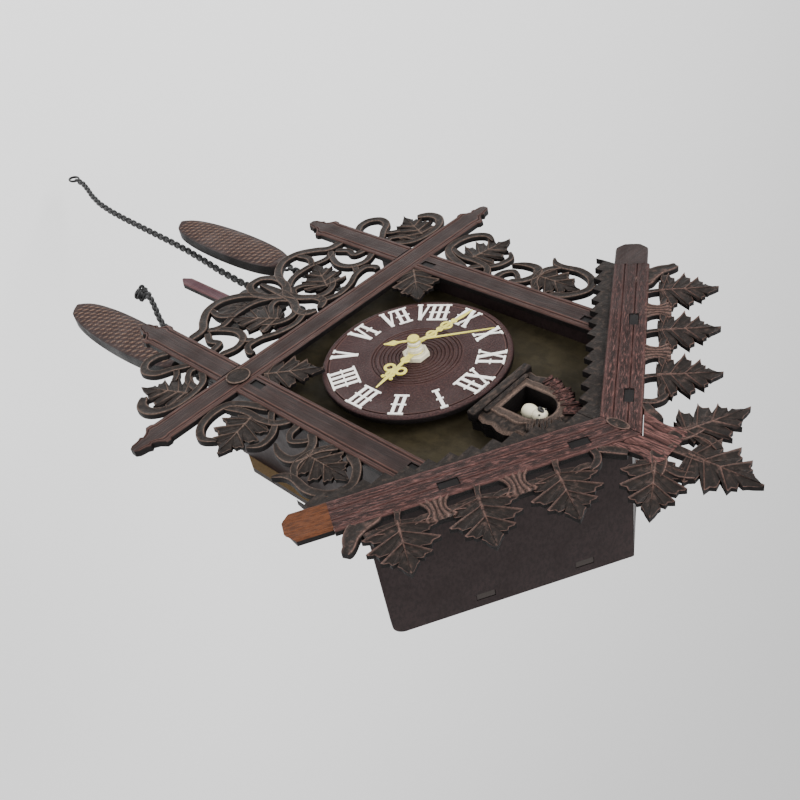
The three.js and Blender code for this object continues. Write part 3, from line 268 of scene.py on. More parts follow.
def plain(name, tint, roughness=0.4, metallic=0.0, size=1.5, change=0.25, bump=0.05):
    """Paint, plastic or metal with a little unevenness."""
    material, tree, shader, place = blank(name, roughness, metallic)
    cloud = speckle(tree, place, (size, size, size), 5.0, 0.6)
    fine = speckle(tree, place, (size * 0.12,) * 3, 3.0, 0.6)
    body = mixed(tree, ramped(tree, cloud, 0.35, 0.7), tint, [c * (1 - change) for c in tint])
    tree.links.new(body, shader.inputs["Base Color"])
    tree.links.new(node(tree, "ShaderNodeMapRange", {
        "Value": cloud, "From Min": 0.3, "From Max": 0.7, "To Min": roughness - 0.08,
        "To Max": roughness + 0.1}).outputs["Result"], shader.inputs["Roughness"])
    tree.links.new(node(tree, "ShaderNodeBump", {
        "Height": fine, "Strength": bump, "Distance": 0.0003}).outputs[0], shader.inputs["Normal"])
    return material


def fibreboard(name, face, scorch):
    """Bare fibreboard: pale fibrous faces, edges scorched brown by the laser."""
    material, tree, shader, place = blank(name, 0.8)
    fibre = speckle(tree, place, (1.6, 0.3, 0.5), 6.0, 0.7)
    cloud = speckle(tree, place, (18, 18, 18), 3.0, 0.5)
    pale = mixed(tree, ramped(tree, fibre, 0.35, 0.65), [c * 0.72 for c in face], face)
    pale = mixed(tree, times(tree, ramped(tree, cloud, 0.4, 0.7), 0.3), pale, [c * 0.6 for c in face])
    normal = node(tree, "ShaderNodeNewGeometry").outputs["Normal"]
    facing = node(tree, "ShaderNodeSeparateXYZ", {0: normal}).outputs["Y"]
    flat = node(tree, "ShaderNodeMath", {0: facing}, operation="ABSOLUTE").outputs[0]
    tree.links.new(mixed(tree, ramped(tree, flat, 0.4, 0.7), scorch, pale), shader.inputs["Base Color"])
    tree.links.new(node(tree, "ShaderNodeBump", {
        "Height": fibre, "Strength": 0.3, "Distance": 0.0004}).outputs[0], shader.inputs["Normal"])
    return material


FINISHES = {}


def finish(name):
    """A finish by its name, made the first time that it is asked for."""
    if name not in FINISHES:
        FINISHES[name] = make_finish(name, bpy.context.scene.clock_finish)
    return FINISHES[name]


def make_finish(name, f):
    slanted = {"left": PITCH, "right": -PITCH}
    side = name.split("_")[-1]
    long_grain = (4.2, 0.6, 0.7)
    if name in ("rose_left", "rose_right"):
        return wood(name, f.rose_low, f.deep_stain_and_shade, f.rose, long_grain, -slanted[side], FASCIA_FRONT, 1.3, 0.85,
                    (0.48, 0.7), 0.9, 0.5, (-0.12, -0.03) if side == "left" else (-0.08, 0.02))
    if name == "rose_up":
        return wood(name, f.rose_low, f.deep_stain_and_shade, f.rose, (0.6, 0.6, 6.0), 0, FASCIA_FRONT, 1.1, 0.9, (0.42, 0.6), 0.8)
    if name == "copper":
        return wood(name, f.copper, f.deep_stain_and_shade, [c * 1.5 for c in f.copper], long_grain, PITCH,
                    FASCIA_FRONT, 1.0, 0.6, (0.42, 0.6), 0.7)
    if name == "rose_leaf":
        # The carved leaves' highlight colour, between rose and leaf highlight, for worn stain with a painted
        # highlight.
        edge = [(a + b) / 2 for a, b in zip(f.rose, f.vein)]
        return wood(name, f.leafy, f.deep_stain_and_shade, edge, (2.4, 0.8, 2.4), 0, FASCIA_FRONT, 1.0, 0.4, (0.5, 0.7), 0.5)
    if name == "leaf":
        return wood(name, f.leafy, f.deep_stain_and_shade, f.vein, (2.4, 0.8, 2.4), 0, VINE_FRONT, 1.0, 0.12, (0.5, 0.7), 0.5)
    if name == "beam_across":
        return wood(name, f.umber, f.deep_stain_and_shade, f.beam_edge, (16, 0.6, 0.7), 0, BEAM_FRONT, 0.9, 0.1, (0.5, 0.7), 0.4, 0.48)
    if name == "beam_up":
        return wood(name, f.umber, f.deep_stain_and_shade, f.beam_edge, (0.7, 0.6, 16), 0, BEAM_FRONT, 0.9, 0.1, (0.5, 0.7), 0.4, 0.48)
    if name == "dial":
        return wood(name, f.dial, f.deep_stain_and_shade, f.beam_edge, (0.8, 0.8, 0.8), 0, 0.5, 1.6, 0.35, (0.5, 0.66), 0.6, 0.42)
    if name == "cone":
        return wood(name, f.cone, f.deep_stain_and_shade, f.scale, (2.6, 0.8, 1.2), 0, WEIGHT_FRONT, 1.6, 0.1, (0.5, 0.7), 0.3, 0.5)
    if name == "rod":
        return wood(name, f.rod, f.deep_stain_and_shade, f.rose, (0.7, 0.6, 14), 0, -18.5, 1.0, 0.3, (0.5, 0.66), 0.4)
    if name == "bob":
        return wood(name, f.leafy, f.deep_stain_and_shade, f.vein, (2, 0.8, 2), 0, -15.4, 1.2, 0.15, (0.44, 0.62), 0.5)
    if name == "olive":
        return wood(name, f.olive, f.deep_stain_and_shade, f.olive, (6, 3, 9), 0, None, 1, 0.2, (0.5, 0.7), 0.25, 0.62)
    if name == "roof":
        return wood(name, f.roof, f.deep_stain_and_shade, f.roof, (1.2, 2.4, 1.2), 0, None, 1, 0.2, (0.5, 0.7), 0.12, 0.45,
                    sawn=True)
    if name == "thatch":
        return wood(name, f.rose_low, f.deep_stain_and_shade, f.rose, (1.6, 0.6, 1.6), 0, 1.6, 1.2, 0.8, (0.46, 0.66), 0.6)
    if name == "house":
        return wood(name, f.leafy, f.deep_stain_and_shade, f.vein, (3, 0.6, 1.4), 0, 1.2, 3.0, 0.15, (0.46, 0.64), 0.5)
    if name == "raw":
        return fibreboard(name, f.board, linear(30, 22, 18))
    if name == "numeral":
        return plain(name, f.numeral, 0.5, 0, 2.0, 0.06, 0.2)
    if name == "gold":
        return plain(name, f.gold, 0.34, 0.25, 1.2, 0.18, 0.1)
    if name == "ivory":
        return plain(name, linear(218, 211, 184), 0.35, 0, 2.0, 0.1, 0.1)
    if name == "black_chain":
        return plain(name, linear(17, 17, 18), 0.42, 0.5, 1.2, 0.4, 0.2)
    if name == "steel":
        return plain(name, linear(176, 176, 178), 0.3, 1.0, 1.0, 0.15, 0.1)
    if name == "brass":
        return plain(name, linear(214, 186, 104), 0.32, 0.9, 1.0, 0.2, 0.1)
    if name == "black_plastic":
        return plain(name, linear(32, 32, 34), 0.5, 0, 0.8, 0.2, 0.5)
    if name == "sleeve":
        return plain(name, linear(52, 92, 140), 0.3, 0.3, 3.0, 0.2, 0.05)
    raise ValueError(f"there is no finish called {name}")


# ---- shaping ---------------------------------------------------------------------------------


def rub_and_highlight_layer(bm):
    """The share of worn-off stain and painted highlight, kept on the points."""
    return bm.verts.layers.float.get("rub_and_highlight") or bm.verts.layers.float.new("rub_and_highlight")


def shaped(bm, columns, rows, place):
    """Adds a grid and moves each of its points to place(column, row), which may also give its share of worn stain and
    painted highlight.
    """
    layer = rub_and_highlight_layer(bm)
    made = bmesh.ops.create_grid(bm, x_segments=columns, y_segments=rows, size=0.5)["verts"]
    if len(made) != (columns + 1) * (rows + 1):
        raise RuntimeError("the grid has another number of points than it was asked for")
    for vert in made:
        x, v, h, *rub_and_highlight = place(round((vert.co.x + 0.5) * columns), round((vert.co.y + 0.5) * rows))
        vert.co = (x, -h, v)
        vert[layer] = rub_and_highlight[0] if rub_and_highlight else 0.0
    bmesh.ops.remove_doubles(bm, verts=made, dist=0.004)


def strip(bm, stations, profile, front, back):
    """Adds a bar along stations of (x, v, across x, across v, half width, sink).
    profile lists (share of the half width, drop below the front, share of worn stain and painted highlight) from side
    to side."""
    last = len(stations) - 1
    edge = len(profile) - 1

    def place(i, j):
        x, v, ax, av, half, sink = stations[min(max(i - 1, 0), last)]
        if i in (0, last + 2):
            return x, v, (front + back) / 2
        k = min(max(j - 1, 0), edge) if j <= edge + 2 else 0
        share, drop, rub_and_highlight = profile[k]
        px, pv = x + ax * half * share, v + av * half * share
        if j in (0, edge + 2, edge + 3):
            return px, pv, back
        return px, pv, front - drop - sink, rub_and_highlight

    shaped(bm, last + 2, edge + 3, place)


def smooth_path(points, steps):
    """Catmull-Rom line through rows of numbers."""
    rows = [Vector(p) for p in points]
    ends = [2 * rows[0] - rows[1], *rows, 2 * rows[-1] - rows[-2]]
    line = []
    for i in range(1, len(ends) - 2):
        p0, p1, p2, p3 = ends[i - 1:i + 3]
        for k in range(steps):
            t = k / steps
            line.append(0.5 * (2 * p1 + (p2 - p0) * t + (2 * p0 - 5 * p1 + 4 * p2 - p3) * t * t
                               + (3 * p1 - p0 - 3 * p2 + p3) * t ** 3))
    return [*line, rows[-1]]


def both(rows):
    """A profile from its first side and middle."""
    return (*rows, *[(-share, drop, rub_and_highlight) for share, drop, rub_and_highlight in reversed(rows[:-1])])


# In these profiles the last number of a row is the share of worn stain and painted highlight on edges and ridges.
VINE_PROFILE = both((
    (-1, 0.95, 0.05), (-0.93, 0.35, 0.2), (-0.84, 0.12, 0.9), (-0.74, 0.04, 0.2), (-0.45, 0.24, 0), (0, 0.34, 0)))
BEAM_PROFILE = both((
    (-1, 0.75, 0.1), (-0.93, 0.08, 0.6), (-0.86, 0.0, 0.15), (-0.76, 0.0, 0.8), (-0.71, 1, 0), (-0.64, 1, 0),
    (-0.59, 0.0, 0.8), (-0.5, 0.0, 0.05), (0, 0.0, 0)))
BRIDGE_PROFILE = both((
    (-1, 0.8, 0.1), (-0.86, 0.1, 0.9), (-0.66, 0.6, 0), (-0.42, 0.05, 0.8), (-0.2, 0.6, 0), (0, 0.05, 0.8)))


def vine(bm, points, front=VINE_FRONT, back=BEAM_BACK, steps=6, turn=None):
    """Adds a tapering vine along points of (x, v, width); turn maps the drawing's points."""
    line = smooth_path(points, steps)
    if turn:
        line = [Vector((*turn(x, v), w)) for x, v, w in line]
    stations = []
    for i, (x, v, width) in enumerate(line):
        ahead = line[min(i + 1, len(line) - 1)] - line[max(i - 1, 0)]
        run = math.hypot(ahead.x, ahead.y) or 1
        end = min(i, len(line) - 1 - i)
        share = 0.72 if end == 0 else 0.93 if end == 1 else 1
        stations.append((x, v, ahead.y / run, -ahead.x / run, share * width / 2, 0.25 if end == 0 else 0))
    strip(bm, stations, VINE_PROFILE, front, back)


# The right half of a lobed leaf of unit width and length, with the strength of the vein to each point.
LEAF_HALF = (
    (0.04, 0.0, 0), (0.16, 0.0, 0.2), (0.29, 0.02, 0.5), (0.24, 0.08, 0), (0.38, 0.1, 0.3), (0.5, 0.2, 1),
    (0.39, 0.23, 0), (0.36, 0.29, 0.2), (0.2, 0.29, 0), (0.32, 0.34, 0.1), (0.38, 0.39, 0), (0.48, 0.47, 1),
    (0.37, 0.49, 0), (0.33, 0.56, 0.2), (0.17, 0.53, 0), (0.25, 0.6, 0.1), (0.33, 0.69, 1), (0.23, 0.7, 0),
    (0.2, 0.76, 0.2), (0.11, 0.73, 0), (0.14, 0.8, 0.2), (0.1, 0.84, 0), (0.07, 0.9, 0), (0.0, 1.0, 1),
)
LEAF_STEPS = 3
LEAF_ROWS = (0.0, 0.07, 0.26, 0.5, 0.74, 0.94, 1.0)


def leaf(bm, x, v, angle, length, width, front, back, side=1, turn=None):
    """Adds a carved leaf whose stem end is at x, v, pointing along the angle in degrees from +x."""
    depth = bpy.context.scene.clock_shape.relief
    half = []
    for (x0, y0, vein0), (x1, y1, vein1) in zip(LEAF_HALF, LEAF_HALF[1:]):
        for k in range(LEAF_STEPS):
            t = k / LEAF_STEPS
            vein = max(vein0 * (1 - 3 * t), vein1 * (3 * t - 2), 0)
            half.append((x0 + (x1 - x0) * t, y0 + (y1 - y0) * t, vein))
    ring = [*half, (0.0, 1.0, 1), *[(-px, py, vein) for px, py, vein in reversed(half)]]
    spin = math.radians(angle - 90)
    rows = len(LEAF_ROWS)

    def place(i, j):
        px, py, vein = ring[min(i, len(ring) - 1)]
        rib = py * (0.3 + 0.7 * py * py)
        t = LEAF_ROWS[j] if j < rows else 1 if j == rows else 0
        qx, qy = px * t, rib + (py - rib) * t
        valley = (1 - vein) * (0.34 + 0.4 * t) if t else 0
        wave = 0.14 * noise.noise((x + 9 * px, v + 7 * py, 2.0 * t))
        h = back if j >= rows else front - depth * (0.05 + valley + wave + 0.36 * t ** 4)
        edge = 0.7 if j == rows - 1 else 0
        # Worn stain with a painted highlight on the veins, the midrib and the rim of the leaf.
        rub_and_highlight = max(0.9 * vein ** 1.6 * (1 - 0.4 * t), edge, 0.8 * (t == 0)) if j < rows else 0
        qx, qy = qx * width, qy * length
        gx = x + qx * math.cos(spin) - qy * math.sin(spin)
        gv = v + qx * math.sin(spin) + qy * math.cos(spin)
        gx, gv = turn(gx, gv) if turn else (side * gx, gv)
        return gx, gv, min(h, front), rub_and_highlight

    shaped(bm, len(ring) - 1, rows + 1, place)


def turned(bm, profile, steps, matrix=None, closed=False):
    """Adds a turned shape: profile of (radius, height, share of worn stain and painted highlight) round Z, then moved
    by the matrix.
    """
    layer = rub_and_highlight_layer(bm)
    before = set(bm.verts)
    verts = []
    for r, z, *rub_and_highlight in profile:
        vert = bm.verts.new((r, 0, z))
        vert[layer] = rub_and_highlight[0] if rub_and_highlight else 0.0
        verts.append(vert)
    pairs = list(zip(verts, verts[1:])) + ([(verts[-1], verts[0])] if closed else [])
    edges = [bm.edges.new(pair) for pair in pairs]
    bmesh.ops.spin(bm, geom=[*verts, *edges], cent=(0, 0, 0), axis=(0, 0, 1), angle=2 * math.pi,
                   steps=steps, use_merge=True)
    fresh = [vert for vert in bm.verts if vert not in before]
    bmesh.ops.remove_doubles(bm, verts=fresh, dist=0.002)
    if matrix is not None:
        fresh = [vert for vert in bm.verts if vert not in before]
        bmesh.ops.transform(bm, matrix=matrix, verts=fresh)


# Turns a shape's Z axis towards the viewer of the face.
FACING = Matrix.Rotation(math.radians(90), 4, "X")


def facing(x, v, h):
    return Matrix.Translation((x, -h, v)) @ FACING


def bar(bm, x0, v0, x1, v1, width, back, front, matrix=None):
    """Adds a flat bar between two points of the drawing."""
    run, climb = x1 - x0, v1 - v0
    length = math.hypot(run, climb)
    place = (Matrix.Translation(((x0 + x1) / 2, -(back + front) / 2, (v0 + v1) / 2))
             @ Matrix.Rotation(-math.atan2(climb, run), 4, "Y")
             @ Matrix.Diagonal((length, front - back, width, 1)))
    bmesh.ops.create_cube(bm, size=1, matrix=matrix @ place if matrix else place)


def rounded(bm, width, segments=2, angle=30):
    """Bevels every edge sharper than the angle."""
    edges = [e for e in bm.edges if len(e.link_faces) == 2 and e.calc_face_angle(0) > math.radians(angle)]
    bmesh.ops.bevel(bm, geom=edges, offset=width, offset_type="OFFSET", affect="EDGES", segments=segments,
                    profile=0.5, material=-1)


def placed(name, bm, material, body="case", replaces=(), sharp=32):
    """Makes a finished piece of a mesh drawn in millimetres."""
    bmesh.ops.remove_doubles(bm, verts=bm.verts, dist=0.0005)
    bmesh.ops.recalc_face_normals(bm, faces=bm.faces)
    bmesh.ops.transform(bm, matrix=TO_ROW, verts=bm.verts)
    mesh = bpy.data.meshes.new(name)
    bm.to_mesh(mesh)
    bm.free()
    mesh.shade_smooth()
    mesh.set_sharp_from_angle(angle=math.radians(sharp))
    piece = bpy.data.objects.new(name, mesh)
    bpy.context.collection.objects.link(piece)
    mesh.materials.append(finish(material))
    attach(piece, body)
    if replaces:
        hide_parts(*replaces)
    return piece


def cut_through(piece, boxes):
    """Cuts blocks given as two corners (x, h, v) and a matrix out of a piece."""
    bm = bmesh.new()
    for low, high, turn in boxes:
        size = [abs(b - a) for a, b in zip(low, high)]
        mid = [(a + b) / 2 for a, b in zip(low, high)]
        bmesh.ops.create_cube(bm, size=1, matrix=turn @ Matrix.Translation((mid[0], -mid[1], mid[2]))
                              @ Matrix.Diagonal((*size, 1)))
    bmesh.ops.transform(bm, matrix=TO_ROW, verts=bm.verts)
    mesh = bpy.data.meshes.new("cutter")
    bm.to_mesh(mesh)
    bm.free()
    cutter = bpy.data.objects.new("cutter", mesh)
    bpy.context.collection.objects.link(cutter)
    modifier = piece.modifiers.new("slots", "BOOLEAN")
    modifier.object = cutter
    modifier.operation = "DIFFERENCE"
    modifier.solver = "EXACT"
    bpy.context.view_layer.update()
    result = bpy.data.meshes.new_from_object(piece.evaluated_get(bpy.context.evaluated_depsgraph_get()))
    piece.modifiers.clear()
    piece.data = result
    bpy.data.objects.remove(cutter)
    result.shade_smooth()
    result.set_sharp_from_angle(angle=math.radians(30))


def clothe(material, *names):
    """Gives carried-over nodes of the frame their finish."""
    for name in names:
        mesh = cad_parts[name].data
        mesh.materials.clear()
        mesh.materials.append(finish(material))


# ---- camera ----------------------------------------------------------------------------------


class CLOCK_OT_camera(Operator):
    """Sets the camera where the clock is seen from above its right-hand side"""
    bl_idname = "clock.camera"
    bl_label = "Camera"

    def execute(self, context):
        data = bpy.data.cameras.new("camera")
        data.sensor_width = 36
        data.lens = 42.446
        data.clip_start = 0.01
        data.clip_end = 50
        camera = bpy.data.objects.new("camera", data)
        context.collection.objects.link(camera)
        right = Vector((-0.68286701, 0.16516082, 0.7116281))
        down = Vector((0.54093314, 0.76901856, 0.34059034))
        ahead = Vector((-0.49100304, 0.61752113, -0.61447837))
        turn = Matrix((right, -down, -ahead)).transposed().to_4x4()
        camera.matrix_world = Matrix.Translation((0.21642, -0.29777, 0.17910)) @ turn
        context.scene.camera = camera
        return {"FINISHED"}


# ---- chains ----------------------------------------------------------------------------------

LINK_LENGTH, LINK_PITCH = 6.4, 3.5


def link_shape(wire):
    """One oval wire link along Z, as a mesh to copy."""
    bm = bmesh.new()
    reach = CHAIN_D / 2 - wire
    ring = [(reach + wire * math.cos(a), wire * math.sin(a)) for a in (k * math.pi / 4 for k in range(8))]
    turned(bm, ring, 18, closed=True)
    stretch = (LINK_LENGTH / 2 - wire) - reach
    for vert in bm.verts:
        vert.co.y += math.copysign(stretch, vert.co.y) * min(1, abs(vert.co.y) / (0.6 * reach))
    bmesh.ops.transform(bm, matrix=Matrix.Rotation(math.radians(90), 4, "X"), verts=bm.verts)
    mesh = bpy.data.meshes.new("link")
    bm.to_mesh(mesh)
    bm.free()
    return mesh


def add_copy(bm, mesh, matrix):
    start = len(bm.verts)
    bm.from_mesh(mesh)
    bm.verts.ensure_lookup_table()
    bmesh.ops.transform(bm, matrix=matrix, verts=bm.verts[start:])


def run_of_links(bm, mesh, line, first, count, pitch):
    """Hangs links along a line of (x, v) points at depth h, twisted by turns."""
    lengths = [0.0]
    for a, b in zip(line, line[1:]):
        lengths.append(lengths[-1] + (b - a).length)
    for k in range(count):
        s = first + k * pitch
        i = max(0, min(len(line) - 2, next((n for n, d in enumerate(lengths[1:]) if d >= s), len(line) - 2)))
        ahead = (line[i + 1] - line[i]).normalized()
        centre = line[i] + ahead * (s - lengths[i])
        twist = Matrix.Rotation(math.radians(38 if k % 2 else -46), 4, "Z")
        turn = ahead.to_track_quat("Z", "Y").to_matrix().to_4x4()
        add_copy(bm, mesh, Matrix.Translation(centre) @ turn @ twist)


def screw_eye(bm, x, h, v, stem):
    """A wire eye whose stem runs up or down to the height given."""
    wire = [(HOOK_R + HOOK_WIRE_R * math.cos(a), HOOK_WIRE_R * math.sin(a)) for a in
            (k * math.pi / 5 for k in range(10))]
    turned(bm, wire, 28, facing(x, v, h), closed=True)
    edge = v + math.copysign(HOOK_R, stem - v)
    reach = abs(stem - edge)
    ribs = []
    for k in range(9):
        ribs += [(HOOK_WIRE_R, k / 9), (HOOK_WIRE_R * (0.8 if k > 2 else 1), (k + 0.5) / 9)]
    profile = [(0, 0), *[(r, t * reach) for r, t in ribs], (0, reach)]
    flip = Matrix.Identity(4) if stem > v else Matrix.Rotation(math.pi, 4, "X")
    turned(bm, profile, 10, Matrix.Translation((x, -h, edge)) @ flip)


class CLOCK_OT_chains(Operator):
    """Hangs the free chain ends, the weights' chains and their screw eyes"""
    bl_idname = "clock.chains"
    bl_label = "Chains"

    def execute(self, context):
        wire = context.scene.clock_shape.wire
        link = link_shape(wire)
        for name, side in SIDES:
            self.free_end(name, side, link, wire)
            self.weight_chain(name, side, link)
        bpy.data.meshes.remove(link)
        return {"FINISHED"}

    def free_end(self, name, side, link, wire):
        route = CHAIN_ROUTES[name]
        line = [Vector((x, -FREE_CHAIN_H, v)) for x, v in route]
        total = sum((b - a).length for a, b in zip(line, line[1:]))
        low = total if name == "left" else total - 2
        count = round(low / LINK_PITCH) + 1
        bm = bmesh.new()
        run_of_links(bm, link, line, -0.4, count, low / (count - 1))
        chain = placed(f"chain_links_{name}", bm, "black_chain", replaces=[f"chain_{name}"])
        x, v = route[-1]
        bm = bmesh.new()
        if name == "left":
            ring = [(4.6 + 0.9 * math.cos(a), 0.9 * math.sin(a)) for a in (k * math.pi / 5 for k in range(10))]
            turned(bm, ring, 40, facing(x, v - 5.8, FREE_CHAIN_H) @ Matrix.Diagonal((0.72, 1, 1, 1)), closed=True)
            end = placed("end_ring", bm, "black_chain", replaces=["chain_ring"])
        else:
            chance = random.Random(7)
            for k in range(13):
                turn = Matrix.Rotation(chance.uniform(0, 6.28), 4, (chance.uniform(-1, 1), 1, chance.uniform(-1, 1)))
                around = k * 2.4
                spot = Vector((x + 2.6 * math.cos(around), 1.6 - FREE_CHAIN_H + 1.1 * math.sin(around), v - 2.6 - 0.66 * k))
                add_copy(bm, link, Matrix.Translation(spot) @ turn @ Matrix.Scale(0.92, 4))
            end = placed("gathered_links", bm, "black_chain", replaces=["chain_bunch"])
        bm = bmesh.new()
        screw_eye(bm, side * FREE_CHAIN_X, FREE_CHAIN_H, HOOK_V, BASE_V - 0.4)
        placed(f"chain_eye_{name}", bm, "black_chain", replaces=[f"chain_hook_{name}"])
        bm = bmesh.new()
        screw_eye(bm, side * WEIGHT_X, WEIGHT_H, HOOK_V, BASE_V - 0.4)
        placed(f"hanging_eye_{name}", bm, "black_chain", replaces=[f"weight_hook_{name}"])

    def weight_chain(self, name, side, link):
        x = side * WEIGHT_X
        eye_v = WEIGHT_TOP_V[name] + 1 + HOOK_R
        low, high = eye_v + HOOK_R + 0.9, HOOK_V - HOOK_R - 0.9
        line = [Vector((x, -WEIGHT_H, high - (high - low) * k / 8)) for k in range(9)]
        run = high - low
        inset = LINK_LENGTH / 2 - 2.2
        count = round((run - 2 * inset) / LINK_PITCH) + 1
        bm = bmesh.new()
        run_of_links(bm, link, line, inset, count, (run - 2 * inset) / (count - 1))
        body = f"weight_{name}"
        chain = placed(f"weight_links_{name}", bm, "black_chain", body, [f"weight_chain_{name}"])
        bm = bmesh.new()
        screw_eye(bm, x, WEIGHT_H, eye_v, WEIGHT_TOP_V[name] - 3.2)
        eye = placed(f"weight_eye_{name}", bm, "black_chain", body)


# ---- fascias and crown -----------------------------------------------------------------------


def on_fascia(side):
    """Maps (down the slope from the peak, up from the lower edge) to the drawing."""
    return lambda s, n: (side * (s * ALONG + n * RISE), PEAK_V - s * RISE + n * ALONG)


# Drops below the front across the fascia, from its lower edge to its upper one, with the share of worn stain and
# painted highlight.
FASCIA_PROFILE = (
    (-1, 0.7, 0), (-0.94, 0.12, 0.6), (-0.84, 0.05, 0.2), (-0.7, 0, 0), (-0.56, 0, 0), (-0.42, 0.04, 0.4),
    (-0.37, 0.5, 0), (-0.32, 0.04, 0.4), (-0.16, 0, 0), (0, 0, 0), (0.14, 0, 0), (0.26, 0.04, 0.4), (0.31, 0.5, 0),
    (0.36, 0.04, 0.4), (0.52, 0, 0), (0.68, 0, 0), (0.84, 0.05, 0.2), (0.94, 0.12, 0.6), (1, 0.7, 0),
)


def fascia_board(bm, side, start, end, inset=0.0):
    """The board from start to end; it starts on the mitre when start is 0."""
    turn = on_fascia(side)
    steps = max(4, round((end - start) / 2.0))
    chamfer = 4.0 if inset else 0.0
    last = len(FASCIA_PROFILE) - 1

    def place(i, j):
        cap = i in (0, steps + 2)
        i = min(max(i - 1, 0), steps)
        share, drop, rub_and_highlight = FASCIA_PROFILE[min(max(j - 1, 0), last)]
        if inset:
            drop, rub_and_highlight = 0.6 * (abs(share) == 1) + 0.1 * (abs(share) > 0.9), 0
        low, high = inset * 0.1, FASCIA_WIDTH - inset
        n = (low + high) / 2 + share * (high - low) / 2
        t = i / steps
        s = start + (end - start) * t
        if chamfer:
            s = min(s, end - max(0, abs(share) - 0.45) * chamfer * 1.6)
        if start == 0:
            mitre = -n * SLOPE + GAP / 2 / ALONG
            s = mitre + (end - mitre) * t
        x, v = turn(s, n if not cap else (low + high) / 2)
        if cap:
            middle = (low + high) / 2
            edge = -middle * SLOPE + GAP / 2 / ALONG if start == 0 and i == 0 else s
            x, v = turn(start if i == 0 and start else edge if i == 0 else end, middle)
            return x, v, (FASCIA_FRONT + FASCIA_BACK) / 2
        if j in (0, last + 2, last + 3):
            return x, v, FASCIA_BACK
        wave = noise.noise((s * 0.07, n * 0.9, side * 3.3)) + 0.5 * noise.noise((s * 0.3, n * 2.1, 7.7))
        return x, v, FASCIA_FRONT - max(0.0, drop + 0.2 + 0.16 * wave), rub_and_highlight

    shaped(bm, steps + 2, last + 3, place)


def fascia_sprays(bm, side):
    """Stems, ribbed bridges and the end scroll that carry the leaves on the fascia's upper edge."""
    turn = on_fascia(side)
    top = FASCIA_WIDTH
    for k in range(3):
        s = LEAF_FIRST + k * LEAF_PITCH
        vine(bm, ((s - 1.6, top - 1.4, 3), (s - 0.6, top + 2, 2.2), (s, top + 6, 2.2)),
             FASCIA_FRONT - 0.1, FASCIA_BACK, 5, turn)
        for way in (-1, 1):
            vine(bm, ((s + way * 12.4, top + 6.6, 3.2), (s + way * 8.6, top + 6.2, 3), (s + way * 5, top + 7.4, 2.6)),
                 FASCIA_FRONT - 0.3, FASCIA_BACK, 4, turn)
    vine(bm, ((9.6, top - 1.2, 3), (9.2, top + 3, 3), (11, top + 6.4, 3), (14.2, top + 8.4, 2.4)),
         FASCIA_FRONT - 0.2, FASCIA_BACK, 5, turn)
    for k in range(1, 3):
        s = LEAF_FIRST + (k - 0.5) * LEAF_PITCH
        across = Vector(turn(s + 1, 0)) - Vector(turn(s, 0))
        stations = []
        for n, half in ((-1.6, 7), (0, 5.4), (1.4, 4.2), (3.6, 3.5), (5.6, 3.8), (7.2, 5.2), (8.6, 6.4), (9.6, 5)):
            stations.append((*turn(s, top + n), across.x, across.y, half, 0.3 if n > 9 else 0))
        strip(bm, stations, BRIDGE_PROFILE, FASCIA_FRONT - 0.2, FASCIA_BACK)
    end = LEAF_FIRST + 2.5 * LEAF_PITCH
    vine(bm, ((end - 9, top - 3, 9), (end - 3, top - 0.4, 9), (end + 1.6, top + 4, 7), (end + 3.6, top + 8.6, 5),
              (end + 5.6, top + 11.4, 4)), FASCIA_FRONT - 0.2, FASCIA_BACK, 5, turn)


